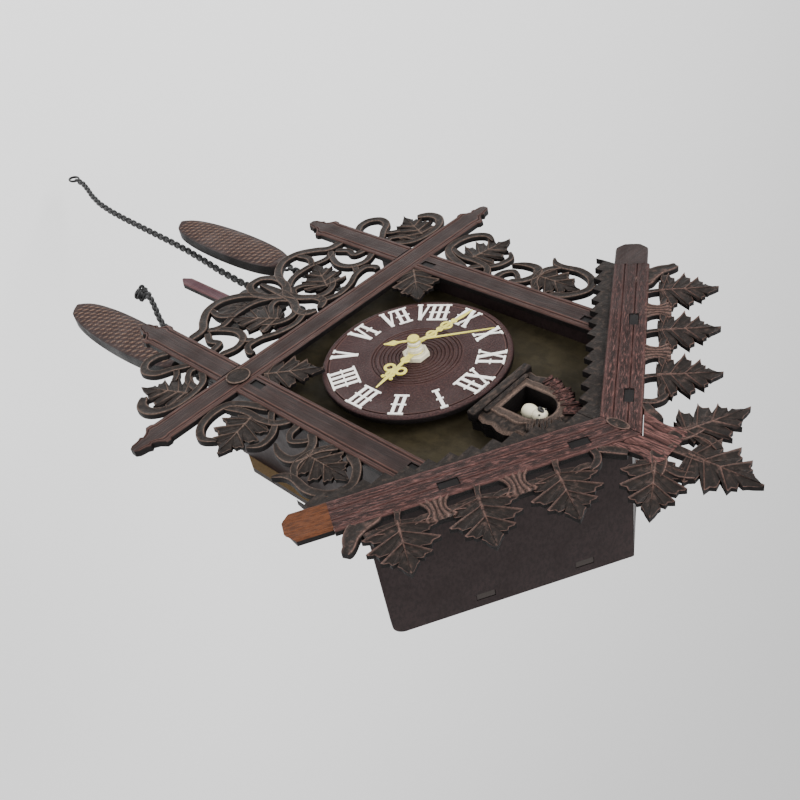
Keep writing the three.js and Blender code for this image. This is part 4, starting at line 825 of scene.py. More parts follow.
class CLOCK_OT_fascias(Operator):
    """Carves the two fascias with their leaves, and the crown of three leaves"""
    bl_idname = "clock.fascias"
    bl_label = "Fascias and crown"

    def execute(self, context):
        for name, side in SIDES:
            self.fascia(name, side)
        self.crown()
        clothe("leaf", "stepped_trim_left", "stepped_trim_right")
        return {"FINISHED"}

    def fascia(self, name, side):
        turn = on_fascia(side)
        neck = FASCIA_LENGTH - END_BLOCK
        bm = bmesh.new()
        fascia_board(bm, side, 0, neck)
        board = placed(f"fascia_board_{name}", bm, f"rose_{name}", replaces=[f"fascia_{name}"])
        tilt = Matrix.Translation((0, 0, PEAK_V)) @ Matrix.Rotation(side * PITCH, 4, "Y")
        high = (RIDGE_V - PEAK_V) * ALONG + FIT
        boxes = []
        for s in SLOTS_S:
            span = sorted((side * (s - TAB_LENGTH / 2 - FIT), side * (s + TAB_LENGTH / 2 + FIT)))
            boxes.append(((span[0], FASCIA_BACK - 1, high - ROOF_SHEET - 2 * FIT),
                          (span[1], FASCIA_FRONT + 1, high), tilt))
        cut_through(board, boxes)
        bm = bmesh.new()
        fascia_board(bm, side, neck + 0.02, FASCIA_LENGTH, 1.0)
        placed(f"end_block_{name}", bm, "copper" if side > 0 else "beam_across")
        bm = bmesh.new()
        fascia_sprays(bm, side)
        placed(f"fascia_stems_{name}", bm, "rose_leaf")
        bm = bmesh.new()
        for k in range(3):
            s = LEAF_FIRST + k * LEAF_PITCH
            leaf(bm, s, FASCIA_WIDTH + 4.2, 86, 24.4, 27, FASCIA_FRONT, FASCIA_BACK, turn=turn)
        placed(f"fascia_leaves_{name}", bm, "rose_leaf")

    def crown(self):
        foot = PEAK_V + (FASCIA_WIDTH + GAP) / ALONG
        rows = ((-6, 12.2), (-3, 11.6), (0, 9.9), (3, 9.3), (6, 9.6), (9, 11.4), (11, 11.2), (13, 8))
        fine = smooth_path(rows, 4)
        columns = 18
        bm = bmesh.new()

        def place(i, j):
            cap = i in (0, len(fine) + 1)
            rise, half = fine[min(max(i - 1, 0), len(fine) - 1)]
            k = min(max(j - 1, 0), columns)
            share = -1 + 2 * k / columns
            x = share * half
            settle = max(0.0, 1 - (rise + 6) / 12)
            v = foot + rise + settle * (6 - abs(x) * SLOPE)
            if cap:
                return 0, foot + rise + settle * 6 - (1 if i else 0), (FASCIA_FRONT + FASCIA_BACK) / 2
            if j in (0, columns + 2, columns + 3):
                return x, v, FASCIA_BACK
            drop = 0.8 if k in (0, columns) else 0.2 + 0.2 * noise.noise((x * 0.7, rise * 0.12, 2))
            groove = k in (4, 9, 14) and 0 < i < len(fine) - 2
            # Worn stain with painted highlight lines beside the grooves of the crown's neck.
            return x, v, FASCIA_FRONT - drop - 0.7 * groove, 0.5 * (k in (3, 5, 8, 10, 13, 15))

        shaped(bm, len(fine) + 1, columns + 3, place)
        placed("crown_neck", bm, "rose_up", replaces=["crown"])
        bm = bmesh.new()
        stems = [((0, foot + 10, 5), (0, foot + 15, 4.2), (0, foot + 24, 3.6))]
        for side in (1, -1):
            stems.append(((side * 4, foot + 8, 6), (side * 9, foot + 12, 6), (side * 15, foot + 15, 4)))
            stems.append(((side * 9.6, foot + 14, 3), (side * 10.4, foot + 20, 3), (side * 8, foot + 25, 4)))
            stems.append(((side * 15, foot - 8.8, 3.2), (side * 12.6, foot - 5, 4), (side * 10.4, foot + 0.6, 3.6)))
        for points in stems:
            vine(bm, points, FASCIA_FRONT - 0.1, FASCIA_BACK, 5)
        oval = facing(0, PEAK_V + 8, FASCIA_FRONT - 0.1) @ Matrix.Diagonal((2.3, 5, 1, 1))
        # The oval's rim gets worn stain with a painted highlight.
        turned(bm, [(0, -0.4), (1, -0.4), (1, 0.1, 0.3), (0.9, 0.2, 0.8), (0.78, 0.1), (0, 0.0)], 40, oval)
        placed("crown_stems", bm, "rose_leaf")
        bm = bmesh.new()
        leaf(bm, 0, 131, 90, 27.5, 26, FASCIA_FRONT, FASCIA_BACK)
        for side in (1, -1):
            leaf(bm, 8.5, 123.5, 28, 27.5, 23, FASCIA_FRONT, FASCIA_BACK, side)
        placed("crown_leaves", bm, "rose_leaf")


# ---- beams -----------------------------------------------------------------------------------


class CLOCK_OT_beams(Operator):
    """Shapes the grooved beams with their finials, and the rosette"""
    bl_idname = "clock.beams"
    bl_label = "Beams"

    def execute(self, context):
        groove = context.scene.clock_shape.groove
        profile = [(w, groove if d == 1 else d, rub_and_highlight) for w, d, rub_and_highlight in BEAM_PROFILE]
        shoulder = CROSS_TIP_X - FINIAL[-1][0]
        half = [(shoulder + d, w * BEAM_HALF) for d, w in reversed(FINIAL)] + [(shoulder - 1.2, BEAM_HALF)]
        run = [(-x, w) for x, w in half] + [(x, w) for x, w in reversed(half)]
        bm = bmesh.new()
        strip(bm, [(x, BEAM_V, 0, 1, w, 0) for x, w in run], profile, BEAM_FRONT, BEAM_BACK)
        placed("beam_across", bm, "beam_across", replaces=["cross_beam"])
        for name, side in SIDES:
            self.upright(name, side, profile)
        self.rosette()
        return {"FINISHED"}

    def upright(self, name, side, profile):
        shoulder = BEAM_FOOT_V + FINIAL[-1][0]
        foot = [(shoulder - d, w * BEAM_HALF) for d, w in reversed(FINIAL)]
        over, under = BEAM_V + BEAM_HALF + 0.1, BEAM_V - BEAM_HALF - 0.1
        run = [(v, w, 0) for v, w in foot] + [
            (shoulder + 1.2, BEAM_HALF, 0), (under, BEAM_HALF, 0), (under + 0.05, BEAM_HALF, LAP + 0.4),
            (over - 0.05, BEAM_HALF, LAP + 0.4), (over, BEAM_HALF, 0), (BEAM_TOP_V, BEAM_HALF, 0)]
        bm = bmesh.new()
        x = side * BEAM_X
        strip(bm, [(x, v, 1, 0, w, sink) for v, w, sink in run], profile, BEAM_FRONT, BEAM_BACK)
        beam = placed(f"beam_upright_{name}", bm, "beam_up", replaces=[f"upright_beam_{name}"])
        span = sorted((side * 53.3, side * 56.7))
        reach = MORTISE_LENGTH / 2 + FIT
        still = Matrix.Identity(4)
        cut_through(beam, [((span[0], BEAM_BACK - 1, v - reach), (span[1], BEAM_FRONT + 1, v + reach), still)
                           for v in MORTISE_V])

    def rosette(self):
        bm = bmesh.new()
        # The third number is the share of worn stain with a painted highlight, on the rosette's rim.
        profile = [(0, 0.1), (5.6, 0.1), (5.6, 0.7, 0.3), (5.3, 1.0, 0.9), (5.0, 1.0, 0.3), (4.7, 0.6), (3.6, 0.7),
                   (0, 0.75)]
        turned(bm, profile, 48, facing(BEAM_X, BEAM_V, BEAM_FRONT))
        placed("crossing_rosette", bm, "leaf", replaces=["rosette"])


# ---- vine ornaments --------------------------------------------------------------------------

OUTER = BEAM_X + BEAM_HALF - 0.6
INNER = BEAM_X - BEAM_HALF + 0.6
UNDER = BEAM_V - BEAM_HALF - 0.2
ORNAMENTS = {
    "upper": (
        (((OUTER, 24, 5), (67, 32, 4), (75, 37, 4), (82.5, 33.5, 4), (86, 25, 4), (85, 16, 3.6), (86, 11, 3),
          (89.5, 7.5, 1)),
         ((OUTER, 17, 4), (68, 12, 3.4), (74, 9.8, 3.4), (80, 10.6, 3.4), (85, 16, 3)),
         ((OUTER, 1, 4), (67, 6.5, 4), (73, 9, 4.4), (78.5, 6, 4.4), (78.5, -1, 3.4), (75.5, -7, 1.2)),
         ((OUTER, -7, 4), (68, -6, 3.2), (71, -2.4, 2.8), (69.2, 1.4, 2.6), (66, 4.4, 2.4))),
        ((73, 9.5, 90, 24.5, 20),)),
    "lower": (
        (((OUTER, -26, 4), (66, -36, 4), (71, -43.6, 4), (79, -45, 4), (87, -42, 4), (91, -35.5, 3.6),
          (88.5, -29, 2)),
         ((OUTER, -12, 4), (67.5, -16, 3.4), (69.5, -24, 3.6), (69.6, -33, 3.6), (73, -43, 3)),
         ((67.5, -16, 3), (73, -12, 3.4), (79.5, -11, 3.2), (84, -15, 1.4)),
         ((OUTER, -24, 3.4), (66.5, -20, 3), (68.6, -17, 3))),
        ((70.5, -28, 14, 23.5, 25),)),
    "outer": (
        (((OUTER, -74, 3.4), (67.5, -67, 3.6), (76, -64, 3.6), (86, -64.6, 4), (93, -70, 5), (93.5, -77, 5),
          (89, -82, 4)),
         ((OUTER, -83, 3.6), (69, -88, 3.8), (75.5, -92, 4.2), (77.5, -98.5, 4.2), (73.5, -103.5, 4.2),
          (67.5, -103.8, 4), (OUTER, -101, 4)),
         ((72, -65, 4), (70.4, -74, 3.4), (66, -79, 3), (OUTER, -79, 3.4)),
         ((68, -87, 3), (70.5, -83, 3), (74, -80, 3))),
        ((76, -66, -67, 25, 23),)),
    "centre": (
        (((1, UNDER - 2.2, 4), (6, -67, 4.4), (6, -73, 4.4), (2, -80, 4.6), (0, -90, 5)),
         ((0, -87, 6), (6.4, -96, 4.4), (7.4, -105, 4), (4, -111.5, 4), (-1, -113, 4)),
         ((1.6, -82, 3.6), (4.4, -75, 3.6), (11, -71, 3.6), (18, -73, 3.4), (23, -79, 3)),
         ((1.4, -82, 3.6), (5, -88, 3.4), (10.4, -87, 3.2), (15, -81, 3)),
         ((5, -68, 3.6), (14, -64.4, 3.4), (23, -66, 3.4), (31, -70, 3.4), (38, -70.6, 3.4), (41, -66.5, 3.4),
          (40.5, -63.8, 3.6)),
         ((INNER, -77, 4), (42, -74.6, 3.6), (35.4, -78, 3.8), (33.4, -85, 3.8), (36.4, -93, 3.6),
          (40.5, -99, 3.6)),
         ((INNER, -83, 4), (44.4, -85, 3.4), (45.6, -90.5, 3.6), (42.4, -97, 3.6)),
         ((4, -92, 4), (13, -97.4, 3.4), (24, -98, 3.4), (34, -95.4, 3.4), (41, -98, 3.6)),
         ((6, -97, 4.4), (11.6, -107.6, 4.4), (20.4, -114, 4.4), (29.6, -113.4, 4.6), (37, -107.4, 4.6),
          (42, -101.6, 4.6), (INNER, -100.6, 5)),
         ((25.6, -97, 3.4), (29.8, -103.6, 3.4), (28.6, -112, 3.4)),
         ((33.6, -72, 3.4), (35.6, -75, 3.4), (37, -78, 3.4))),
        ((15.5, -74, -62, 27, 22),)),
    "corner": ((), ((48.4, -46.6, 132, 27, 24),)),
}


class CLOCK_OT_vines(Operator):
    """Carves the vines and leaves round the beams"""
    bl_idname = "clock.vines"
    bl_label = "Vines and leaves"

    def execute(self, context):
        replaced = {"upper": "vine_upper", "lower": "vine_lower", "outer": "vine_outer", "corner": "corner_leaf"}
        for part, node_name in replaced.items():
            for name, side in SIDES:
                bm = bmesh.new()
                self.carve(bm, part, side)
                placed(f"{part}_carving_{name}", bm, "leaf", replaces=[f"{node_name}_{name}"])
        bm = bmesh.new()
        for side in (1, -1):
            self.carve(bm, "centre", side)
        vine(bm, ((0, -86, 6), (0, -96, 4.6), (0, -108, 2.4)))
        placed("centre_carving", bm, "leaf", replaces=["vine_centre"])
        return {"FINISHED"}

    def carve(self, bm, part, side):
        vines, leaves = ORNAMENTS[part]
        for order, points in enumerate(vines):
            vine(bm, [(side * x, v, w) for x, v, w in points], VINE_FRONT - 0.06 * (order % 4))
        for x, v, angle, length, width in leaves:
            leaf(bm, x, v, angle, length, width, VINE_FRONT + 0.1, BEAM_BACK, side)


# ---- dial and hands --------------------------------------------------------------------------

DIAL_RINGS = (7.4, 9.0, 10.8, 12.4, 14.4, 16.0, 18.2, 19.6)
NUMERALS = ("XII", "I", "II", "III", "IIII", "V", "VI", "VII", "VIII", "IX", "X", "XI")
ADVANCE = {"I": 3.2, "V": 6.6, "X": 6.8}


def numeral(bm, text, matrix, height):
    """Adds a slab-serif numeral, centred, as raised bars."""
    half = height / 2
    width = sum(ADVANCE[c] for c in text)
    x = -width / 2
    low, high = -0.2, 0.34

    def stroke(x0, v0, x1, v1, thick, lift=0.0):
        bar(bm, x0, v0, x1, v1, thick, low, high + lift, matrix)

    for c in text:
        step = ADVANCE[c]
        mid = x + step / 2
        if c == "I":
            stroke(mid, -half + 0.4, mid, half - 0.4, 1.4)
            for v, reach, thick in ((-half + 0.45, 1.62, 0.9), (half - 0.45, 1.62, 0.9), (0, 1.62, 0.6)):
                stroke(mid - reach, v, mid + reach, v, thick, 0.01)
        elif c == "V":
            stroke(mid - 2.1, half - 0.4, mid + 0.1, -half + 0.5, 1.6)
            stroke(mid + 2.2, half - 0.4, mid + 0.2, -half + 0.5, 0.9, 0.01)
            stroke(mid - 3.4, half - 0.45, mid - 0.9, half - 0.45, 0.9, 0.02)
            stroke(mid + 1.0, half - 0.45, mid + 3.3, half - 0.45, 0.9, 0.02)
            stroke(mid - 0.75, -half + 0.5, mid + 0.95, -half + 0.5, 0.8, 0.02)
        else:
            stroke(mid - 2.0, half - 0.4, mid + 2.0, -half + 0.4, 1.6)
            stroke(mid + 2.0, half - 0.4, mid - 2.0, -half + 0.4, 0.9, 0.01)
            for v in (-half + 0.45, half - 0.45):
                stroke(mid - 3.2, v, mid - 0.8, v, 0.9, 0.02)
                stroke(mid + 0.8, v, mid + 3.2, v, 0.9, 0.02)
        x += step


def hand_turn(turns, h):
    """Turns a hand drawn pointing up to its place on the dial."""
    return Matrix.Rotation(2 * math.pi * turns, 4, "Y")


class CLOCK_OT_dial(Operator):
    """Turns the engraved dial and sets its numerals"""
    bl_idname = "clock.dial"
    bl_label = "Dial"

    def execute(self, context):
        shape = context.scene.clock_shape
        cut = shape.engraving
        # The third number of a row is the share of worn stain with a painted highlight on the edges of the rings and
        # rims.
        profile = [(DIAL_HOLE_R, -3), (DIAL_HOLE_R, -0.25), (5, -0.05, 0.5), (5.6, -0.05)]
        for r in DIAL_RINGS:
            profile += [(r - 0.45, 0), (r - 0.2, 0, 0.3), (r, -cut), (r + 0.35, -cut), (r + 0.55, 0, 0.7),
                        (r + 0.75, 0, 0.1)]
        profile += [(20.6, -0.1, 0.3), (21, -0.3), (38.4, -0.3), (38.7, -0.1, 0.9), (39.0, -0.1, 0.1),
                    (39.2, -cut - 0.25), (39.5, -cut - 0.25), (39.8, -0.05, 0.5), (40.2, 0, 0.05), (41.2, -0.05),
                    (41.7, -0.3), (DIAL_R, -0.9), (DIAL_R, -3)]
        bm = bmesh.new()
        turned(bm, profile, shape.dial_steps, facing(0, 0, 0), closed=True)
        placed("engraved_dial", bm, "dial", replaces=["dial"], sharp=40)
        bm = bmesh.new()
        for k, text in enumerate(NUMERALS):
            turn = Matrix.Rotation(2 * math.pi * k / 12, 4, "Y") @ Matrix.Translation((0, 0.3, NUMERAL_R))
            numeral(bm, text, turn, shape.numeral_height)
        placed("numerals", bm, "numeral")
        clothe("roof", "dial_spacer")
        return {"FINISHED"}


def washer(bm, x, v, radius, hole, back, front):
    edge = 0.12
    profile = [(hole, back), (hole, front - edge), (hole + edge, front), (radius - edge, front),
               (radius, front - edge), (radius, back)]
    turned(bm, profile, 28, facing(x, v, 0), closed=True)


def blade(bm, outline, back, front):
    """Adds a hand's blade; outline lists (distance from the hub, half width)."""
    profile = both(((-1, 0.25, 0), (-0.55, 0.02, 0), (0, 0, 0)))
    strip(bm, [(0, v, 1, 0, w, 0) for v, w in outline], profile, front, back)


class CLOCK_OT_hands(Operator):
    """Shapes the pierced hands, their collars and the cap"""
    bl_idname = "clock.hands"
    bl_label = "Hands"

    def execute(self, context):
        hour, minute, second = TIME_MINUTES / 720, TIME_MINUTES / 60, TIME_SECONDS / 60
        self.hand("hour", HOUR_H, 3.4, 2.6, hour, ((1.5, 1.5), (5, 1.4), (9, 0.9), (18, 0.7), (21, 0.85), (28, 0.2)),
                  ((14.6, 3, 2.7, 1.35), (14.6, -3, 2.7, 1.35), (18.2, 0, 2.3, 1.1), (7.4, 0, 2.1, 1.0)))
        self.hand("minute", MINUTE_H, 2.8, 1.7, minute,
                  ((1.3, 1.3), (5, 1.2), (8, 0.8), (24, 0.8), (27, 1.0), (33, 0.2)),
                  ((9.6, 0, 2.5, 1.5), (14.2, 0, 1.6, 0.7), (18, 0, 2.8, 1.7), (22.4, 0, 1.5, 0.6)))
        self.hand("second", SECOND_H, 2.2, 0.7, second, ((-6.4, 0.55), (0, 0.6), (20, 0.42), (35, 0.2)), ())
        self.collars()
        clothe("ivory", "threaded_bush", "bush_nut")
        clothe("brass", "minute_shaft")
        clothe("steel", "second_shaft")
        clothe("black_plastic", "hour_tube")
        return {"FINISHED"}

    def hand(self, name, h, hub, hole, turns, outline, rings):
        back = h - HAND_SHEET
        bm = bmesh.new()
        blade(bm, outline, back, h)
        washer(bm, 0, 0, hub, hole, back, h + 0.04)
        for v, x, radius, inner in rings:
            washer(bm, x, v, radius, inner, back, h + 0.02)
        if name == "second":
            blade(bm, ((-13, 0.1), (-11, 0.9), (-8.8, 1.9), (-7.2, 1.0), (-6.2, 0.5)), back, h)
        if name == "hour":
            washer(bm, 2.1, 20.6, 0.9, 0.2, back, h)
            washer(bm, -2.1, 20.6, 0.9, 0.2, back, h)
        bmesh.ops.transform(bm, matrix=Matrix.Rotation(2 * math.pi * turns, 4, "Y"), verts=bm.verts)
        placed(f"{name}_pointer", bm, "gold", name, [f"{name}_hand"])

    def collars(self):
        bm = bmesh.new()
        turned(bm, [(2.6, 3.05), (3.3, 3.05), (3.4, 3.3), (3.4, 4.6), (3.1, 4.9), (3.1, 5.6), (2.6, 5.7)], 40,
               facing(0, 0, 0), closed=True)
        placed("hour_collar", bm, "ivory", "hour")
        bm = bmesh.new()
        turned(bm, [(1.7, 6.46), (2.7, 6.46), (2.8, 6.7), (2.8, 7.5), (2.5, 7.9), (1.7, 7.95)], 40,
               facing(0, 0, 0), closed=True)
        placed("minute_collar", bm, "ivory", "minute")
        bm = bmesh.new()
        turned(bm, [(0, 8.65), (2.5, 8.65), (2.6, 8.8), (2.6, 9.3), (2.3, 9.7), (1.3, 9.98), (0, 10.0)], 40,
               facing(0, 0, 0))
        placed("second_cap", bm, "gold", "second")


# ---- cuckoo house ----------------------------------------------------------------------------


class CLOCK_OT_house(Operator):
    """Builds the cuckoo's house with its arch, thatch and ledge, and the bird"""
    bl_idname = "clock.house"
    bl_label = "Cuckoo house"

    def execute(self, context):
        self.front()
        self.thatch()
        self.ledge()
        self.bird()
        clothe("steel", "cuckoo_arm")
        clothe("black_plastic", "cuckoo_drive")
        return {"FINISHED"}

    def arch_line(self, grow):
        half, spring, sill = 7.7 + grow, 65.5, 53.8 - grow
        line = [(half, sill + (spring - sill) * k / 5) for k in range(6)]
        line += [(half * math.cos(a), spring + half * math.sin(a)) for a in (math.pi * k / 20 for k in range(1, 21))]
        line += [(-half, spring + (sill - spring) * k / 5) for k in range(1, 6)]
        line += [(-half + 2 * half * k / 6, sill) for k in range(1, 7)]
        return line

    def rim_line(self, inner):
        """The house's ragged outline, one point for each point of the opening."""
        corners = ((0, 17.5, 44.6), (5, 18.9, 63.6), (8, 15.2, 71.5), (11, 11, 77.8), (13, 6.8, 81.4), (15.5, 0, 84))
        corners += tuple((31 - i, -x, v) for i, x, v in reversed(corners[:-1])) + ((36, 17.5, 44.6),)
        line = []
        for i in range(len(inner)):
            (i0, x0, v0), (i1, x1, v1) = next(pair for pair in zip(corners, corners[1:]) if i <= pair[1][0])
            t = (i - i0) / (i1 - i0)
            inward = 1.3 * (i % 2) * (5 < i < 31 or i in (1, 3))
            x, v = x0 + (x1 - x0) * t, v0 + (v1 - v0) * t
            line.append((x * (1 - inward / 18), v - inward * (v > 66)))
        return line

    def front(self):
        inner = self.arch_line(0)
        outer = self.rim_line(inner)
        # Share of the way from the opening to the outline, height, share of worn stain and painted highlight.
        rows = ((0, -8.6, 0), (0, 0.6, 0.1), (0.1, 1.0, 0.8), (0.16, 1.1, 0.3), (0.34, 1.1, 0.2), (0.4, 1.0, 0.8),
                (0.46, 0.2, 0), (0.6, 0.3, 0), (0.8, 0.0, 0), (0.93, -0.5, 0.5), (1, -1.2, 0.6), (1, -3.6, 0.1),
                (0.93, -4.4, 0), (0.93, -8.6, 0))
        bm = bmesh.new()

        def place(i, j):
            share, h, rub_and_highlight = rows[j % len(rows)]
            a, b = inner[i], outer[i]
            return a[0] + (b[0] - a[0]) * share, a[1] + (b[1] - a[1]) * share, h, rub_and_highlight

        shaped(bm, len(inner) - 1, len(rows), place)
        placed("house", bm, "house", replaces=["house_front", "house_back", "house_box"], sharp=24)

    def thatch(self):
        chance = random.Random(11)
        for name, side in SIDES:
            bm = bmesh.new()
            for k in range(15 if side < 0 else 9):
                t = k / 14
                x0, v0 = 3.2 + 11.6 * t ** 0.9, 77.8 - 18 * t ** 1.3
                lean = math.radians(66 - 74 * t + chance.uniform(-9, 9))
                reach = chance.uniform(5.0, 7.0) * (1 - 0.25 * t)
                bend = chance.uniform(-0.8, 0.8)
                tip_x = min(18.6, x0 + reach * math.cos(lean) * 0.9)
                tip_v = min(83.6, v0 + reach * math.sin(lean))
                mid = ((x0 + tip_x) / 2 + bend * 0.5, (v0 + tip_v) / 2 + bend * 0.5)
                points = ((side * (x0 - 2.2), v0 - 1.2, 1.2), (side * mid[0], mid[1], 1.7), (side * tip_x, tip_v, 0.5))
                vine(bm, points, 1.2 + chance.uniform(0, 0.8), -1.0, 4)
            # Painted shade: the right thatch, on the side turned from the light, takes the darker house finish; the
            # left one keeps the dry-brushed rose finish.
            placed(f"thatch_{name}", bm, "thatch" if side < 0 else "house")

    def ledge(self):
        bm = bmesh.new()
        for x0, x1, v0, v1, h0, h1 in ((-18.6, 18.6, 44.7, 48.8, -3, 2.2), (-13.6, 13.6, 49.0, 51.4, -1, 1.8)):
            bmesh.ops.create_cube(bm, size=1, matrix=Matrix.Translation(((x0 + x1) / 2, -(h0 + h1) / 2, (v0 + v1) / 2))
                                  @ Matrix.Diagonal((x1 - x0, h1 - h0, v1 - v0, 1)))
        rounded(bm, 0.9, 3)
        placed("house_ledge", bm, "house")

    def bird(self):
        bm = bmesh.new()
        profile = smooth_path(((0, -5), (2.4, -4.4), (3.3, -2), (2.9, 0.2), (2.4, 1.4)), 4)
        turned(bm, [(abs(r), z) for r, z in profile] + [(0, 1.6)], 32, Matrix.Translation((0, 4, 63.2)))
        head = Matrix.Translation((0, 3.4, 66.4)) @ Matrix.Diagonal((3.3, 2.9, 3.2, 1))
        bmesh.ops.create_uvsphere(bm, u_segments=32, v_segments=20, radius=1, matrix=head)
        placed("bird_body", bm, "ivory", "bird", ["cuckoo"])
        bm = bmesh.new()
        beak = [(0.42, 0), (1.15, 0.1), (1.2, 0.5), (1.0, 1.1), (0.5, 1.3), (0.36, 0.7)]
        lean = Matrix.Rotation(math.radians(-28), 4, "X")
        turned(bm, beak, 24, Matrix.Translation((0, 0.9, 66.9)) @ lean @ FACING @ Matrix.Diagonal((0.9, 1.35, 1, 1)),
               closed=True)
        for side in (1, -1):
            bmesh.ops.create_uvsphere(bm, u_segments=16, v_segments=10, radius=0.45,
                                      matrix=Matrix.Translation((side * 2.1, 1.3, 67.9)))
        placed("bird_beak", bm, "black_plastic", "bird")


# ---- pendulum and weights --------------------------------------------------------------------

CONE_PROFILE = ((1, 0.14), (0.985, 0.36), (0.95, 0.56), (0.86, 0.76), (0.7, 0.93), (0.5, 1), (0.3, 0.96), (0.14, 0.82),
                (0.04, 0.6), (0, 0.36))


class CLOCK_OT_pendulum(Operator):
    """Shapes the pendulum's rod and its leaf bob"""
    bl_idname = "clock.pendulum"
    bl_label = "Pendulum"

    def execute(self, context):
        bm = bmesh.new()
        run = ((-188, 0.4), (-183, 3.4), (-182.9, 3.4), (-40, 3.4), (-34, 3.4), (-32.7, 2.0))
        # The third numbers give worn stain with a painted highlight along the rod's edges.
        profile = both(((-1, 0.6, 0.1), (-0.84, 0, 0.5), (-0.5, 0, 0), (-0.4, 0.2, 0), (0, 0.2, 0)))
        strip(bm, [(0, v, 1, 0, w, 0) for v, w in run], profile, -18.5, -21.5)
        rod = placed("pendulum_bar", bm, "rod", "pendulum", ["pendulum_rod"])
        cut_through(rod, [((-1.1, -22.5, -37.1), (1.1, -17.5, -34.9), Matrix.Identity(4))])
        self.bob()
        clothe("black_plastic", "pendulum_hanger")
        return {"FINISHED"}

    def bob(self):
        teeth, steps, rows = 12, 6, 9
        count = teeth * steps
        front, back, radius = -15.4, -18.35, 19.9

        def place(i, j):
            t = (i % count) / steps
            turn = 2 * math.pi * t / teeth + math.pi / 2
            wave = abs((t % 1) * 2 - 1)
            rim = radius * (0.9 + 0.1 * wave)
            share = min(j, rows) / rows
            r = rim * share
            h = front - 0.9 * share ** 3 - 0.5 * (1 - wave) * share - (0.35 if wave > 0.95 else 0)
            if j > rows:
                h = back
                r = rim if j == rows + 1 else 0
            return r * math.cos(turn), -124 + r * math.sin(turn), h

        bm = bmesh.new()
        shaped(bm, count, rows + 2, place)
        turned(bm, [(0, 0.0), (2.6, 0.0), (2.4, 0.5), (1.4, 0.8), (0, 0.9)], 24, facing(0, -124, front - 0.7))
        placed("leaf_bob", bm, "bob", "pendulum", ["pendulum_bob"])


class CLOCK_OT_weights(Operator):
    """Carves the scaled cone weights"""
    bl_idname = "clock.weights"
    bl_label = "Weights"

    def execute(self, context):
        depth = context.scene.clock_shape.scale_depth
        for name, side in SIDES:
            self.cone(name, side, depth)
        return {"FINISHED"}

    def cone(self, name, side, depth):
        line = smooth_path([(t, w) for t, w in CONE_PROFILE], 26)
        columns, rows = len(line) - 1, 44
        top = WEIGHT_TOP_V[name]

        def place(i, j):
            t, width = line[min(max(i - 1, 0), columns)]
            t = min(1, max(0, t))
            half = max(0.05, width * WEIGHT_HALF)
            v = top - t * WEIGHT_LENGTH
            if i in (0, columns + 2):
                return side * WEIGHT_X, v, WEIGHT_H
            k = min(max(j - 1, 0), rows)
            share = -1 + 2 * k / rows
            x = share * half
            if j in (0, rows + 2, rows + 3):
                return side * WEIGHT_X + x, v, WEIGHT_FRONT - WEIGHT_THICK
            row, up = divmod(t * WEIGHT_LENGTH / 3.9, 1)
            along = (x / 3.6 + 0.5 * (row % 2) + 40) % 1
            ridge = max(0.0, 1 - abs(up - 0.2 - 0.55 * along) / 0.26) * math.sin(math.pi * along) ** 0.5
            rim = abs(share) ** 8 + max(0, 1 - min(t, 1 - t) * 16)
            ridge *= max(0, 1 - rim)
            round_off = 1.5 * abs(share) ** 3.5
            h = WEIGHT_FRONT - round_off - depth * (1 - ridge) * max(0, 1 - rim)
            # Worn stain with a painted highlight on the crests of the scales.
            return side * WEIGHT_X + x, v, h, ridge ** 2

        bm = bmesh.new()
        shaped(bm, columns + 2, rows + 3, place)
        placed(f"scaled_cone_{name}", bm, "cone", f"weight_{name}", [f"weight_{name}"], sharp=50)


# ---- case and movement -----------------------------------------------------------------------


class CLOCK_OT_case(Operator):
    """Finishes the plain boards of the case and the movement behind them"""
    bl_idname = "clock.case"
    bl_label = "Case and movement"

    def execute(self, context):
        clothe("raw", "back_panel", "hanger_plate")
        clothe("olive", "front_board")
        clothe("roof", "base_board", "side_panel_left", "side_panel_right", "roof_board_left", "roof_board_right")
        clothe("black_plastic", "movement_case", "setting_knob")
        clothe("sleeve", "battery")
        return {"FINISHED"}


# ---- stage -----------------------------------------------------------------------------------


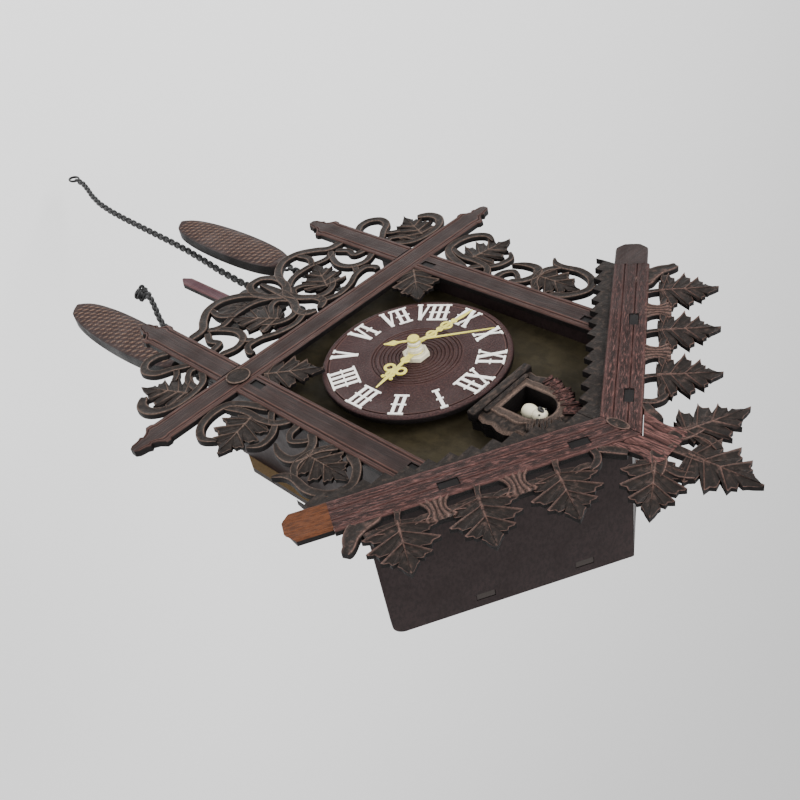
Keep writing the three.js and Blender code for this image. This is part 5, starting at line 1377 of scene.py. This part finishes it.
class CLOCK_OT_stage(Operator):
    """Lays the pale floor and hangs the soft lights"""
    bl_idname = "clock.stage"
    bl_label = "Stage"

    def execute(self, context):
        bm = bmesh.new()
        bmesh.ops.create_grid(bm, x_segments=1, y_segments=1, size=6)
        mesh = bpy.data.meshes.new("floor")
        bm.to_mesh(mesh)
        bm.free()
        mesh.transform(Matrix.Translation((0, 0, -0.53)))
        floor = bpy.data.objects.new("floor", mesh)
        context.collection.objects.link(floor)
        material, tree, shader, place = blank("pale_floor", 0.9)
        shader.inputs["Base Color"].default_value = (0.9, 0.9, 0.9, 1)
        mesh.materials.append(material)
        world = bpy.data.worlds.new("studio")
        world.use_nodes = True
        world.node_tree.nodes["Background"].inputs["Color"].default_value = (1, 1, 1, 1)
        world.node_tree.nodes["Background"].inputs["Strength"].default_value = 1.0
        context.scene.world = world
        for name, spot, aim, size, power in (
            ("key", (-0.5, -1.1, 0.9), (0, 0, -0.1), 0.7, 26),
            ("fill", (1.0, -0.7, 0.2), (0, 0, -0.1), 0.9, 9),
            ("top", (0.1, -0.2, 1.4), (0, 0, -0.1), 0.9, 14),
        ):
            data = bpy.data.lights.new(name, "AREA")
            data.size = size
            data.energy = power
            lamp = bpy.data.objects.new(name, data)
            context.collection.objects.link(lamp)
            lamp.location = spot
            lamp.rotation_euler = (Vector(aim) - Vector(spot)).to_track_quat("-Z", "Y").to_euler()
        return {"FINISHED"}


class CLOCK_PT_panel(Panel):
    """Sizes, colours and steps of the clock"""
    bl_label = "Cuckoo clock"
    bl_idname = "CLOCK_PT_panel"
    bl_space_type = "VIEW_3D"
    bl_region_type = "UI"
    bl_category = "Cuckoo clock"

    def draw(self, context):
        for group in (context.scene.clock_shape, context.scene.clock_finish):
            for key in group.__annotations__:
                self.layout.prop(group, key)
        for step in STEPS:
            self.layout.operator(step.bl_idname)


STEPS = (CLOCK_OT_camera, CLOCK_OT_chains, CLOCK_OT_fascias, CLOCK_OT_beams, CLOCK_OT_vines, CLOCK_OT_dial,
         CLOCK_OT_hands, CLOCK_OT_house, CLOCK_OT_pendulum, CLOCK_OT_weights, CLOCK_OT_case, CLOCK_OT_stage)
CLASSES = (ClockFinish, ClockShape, *STEPS, CLOCK_PT_panel)


def register():
    for item in CLASSES:
        bpy.utils.register_class(item)
    bpy.types.Scene.clock_finish = PointerProperty(type=ClockFinish)
    bpy.types.Scene.clock_shape = PointerProperty(type=ClockShape)


def unregister():
    del bpy.types.Scene.clock_shape
    del bpy.types.Scene.clock_finish
    for item in reversed(CLASSES):
        bpy.utils.unregister_class(item)


def main():
    register()
    for step in STEPS:
        group, name = step.bl_idname.split(".")
        getattr(getattr(bpy.ops, group), name)()
    bpy.context.view_layer.update()


if __name__ == "__main__":
    main()
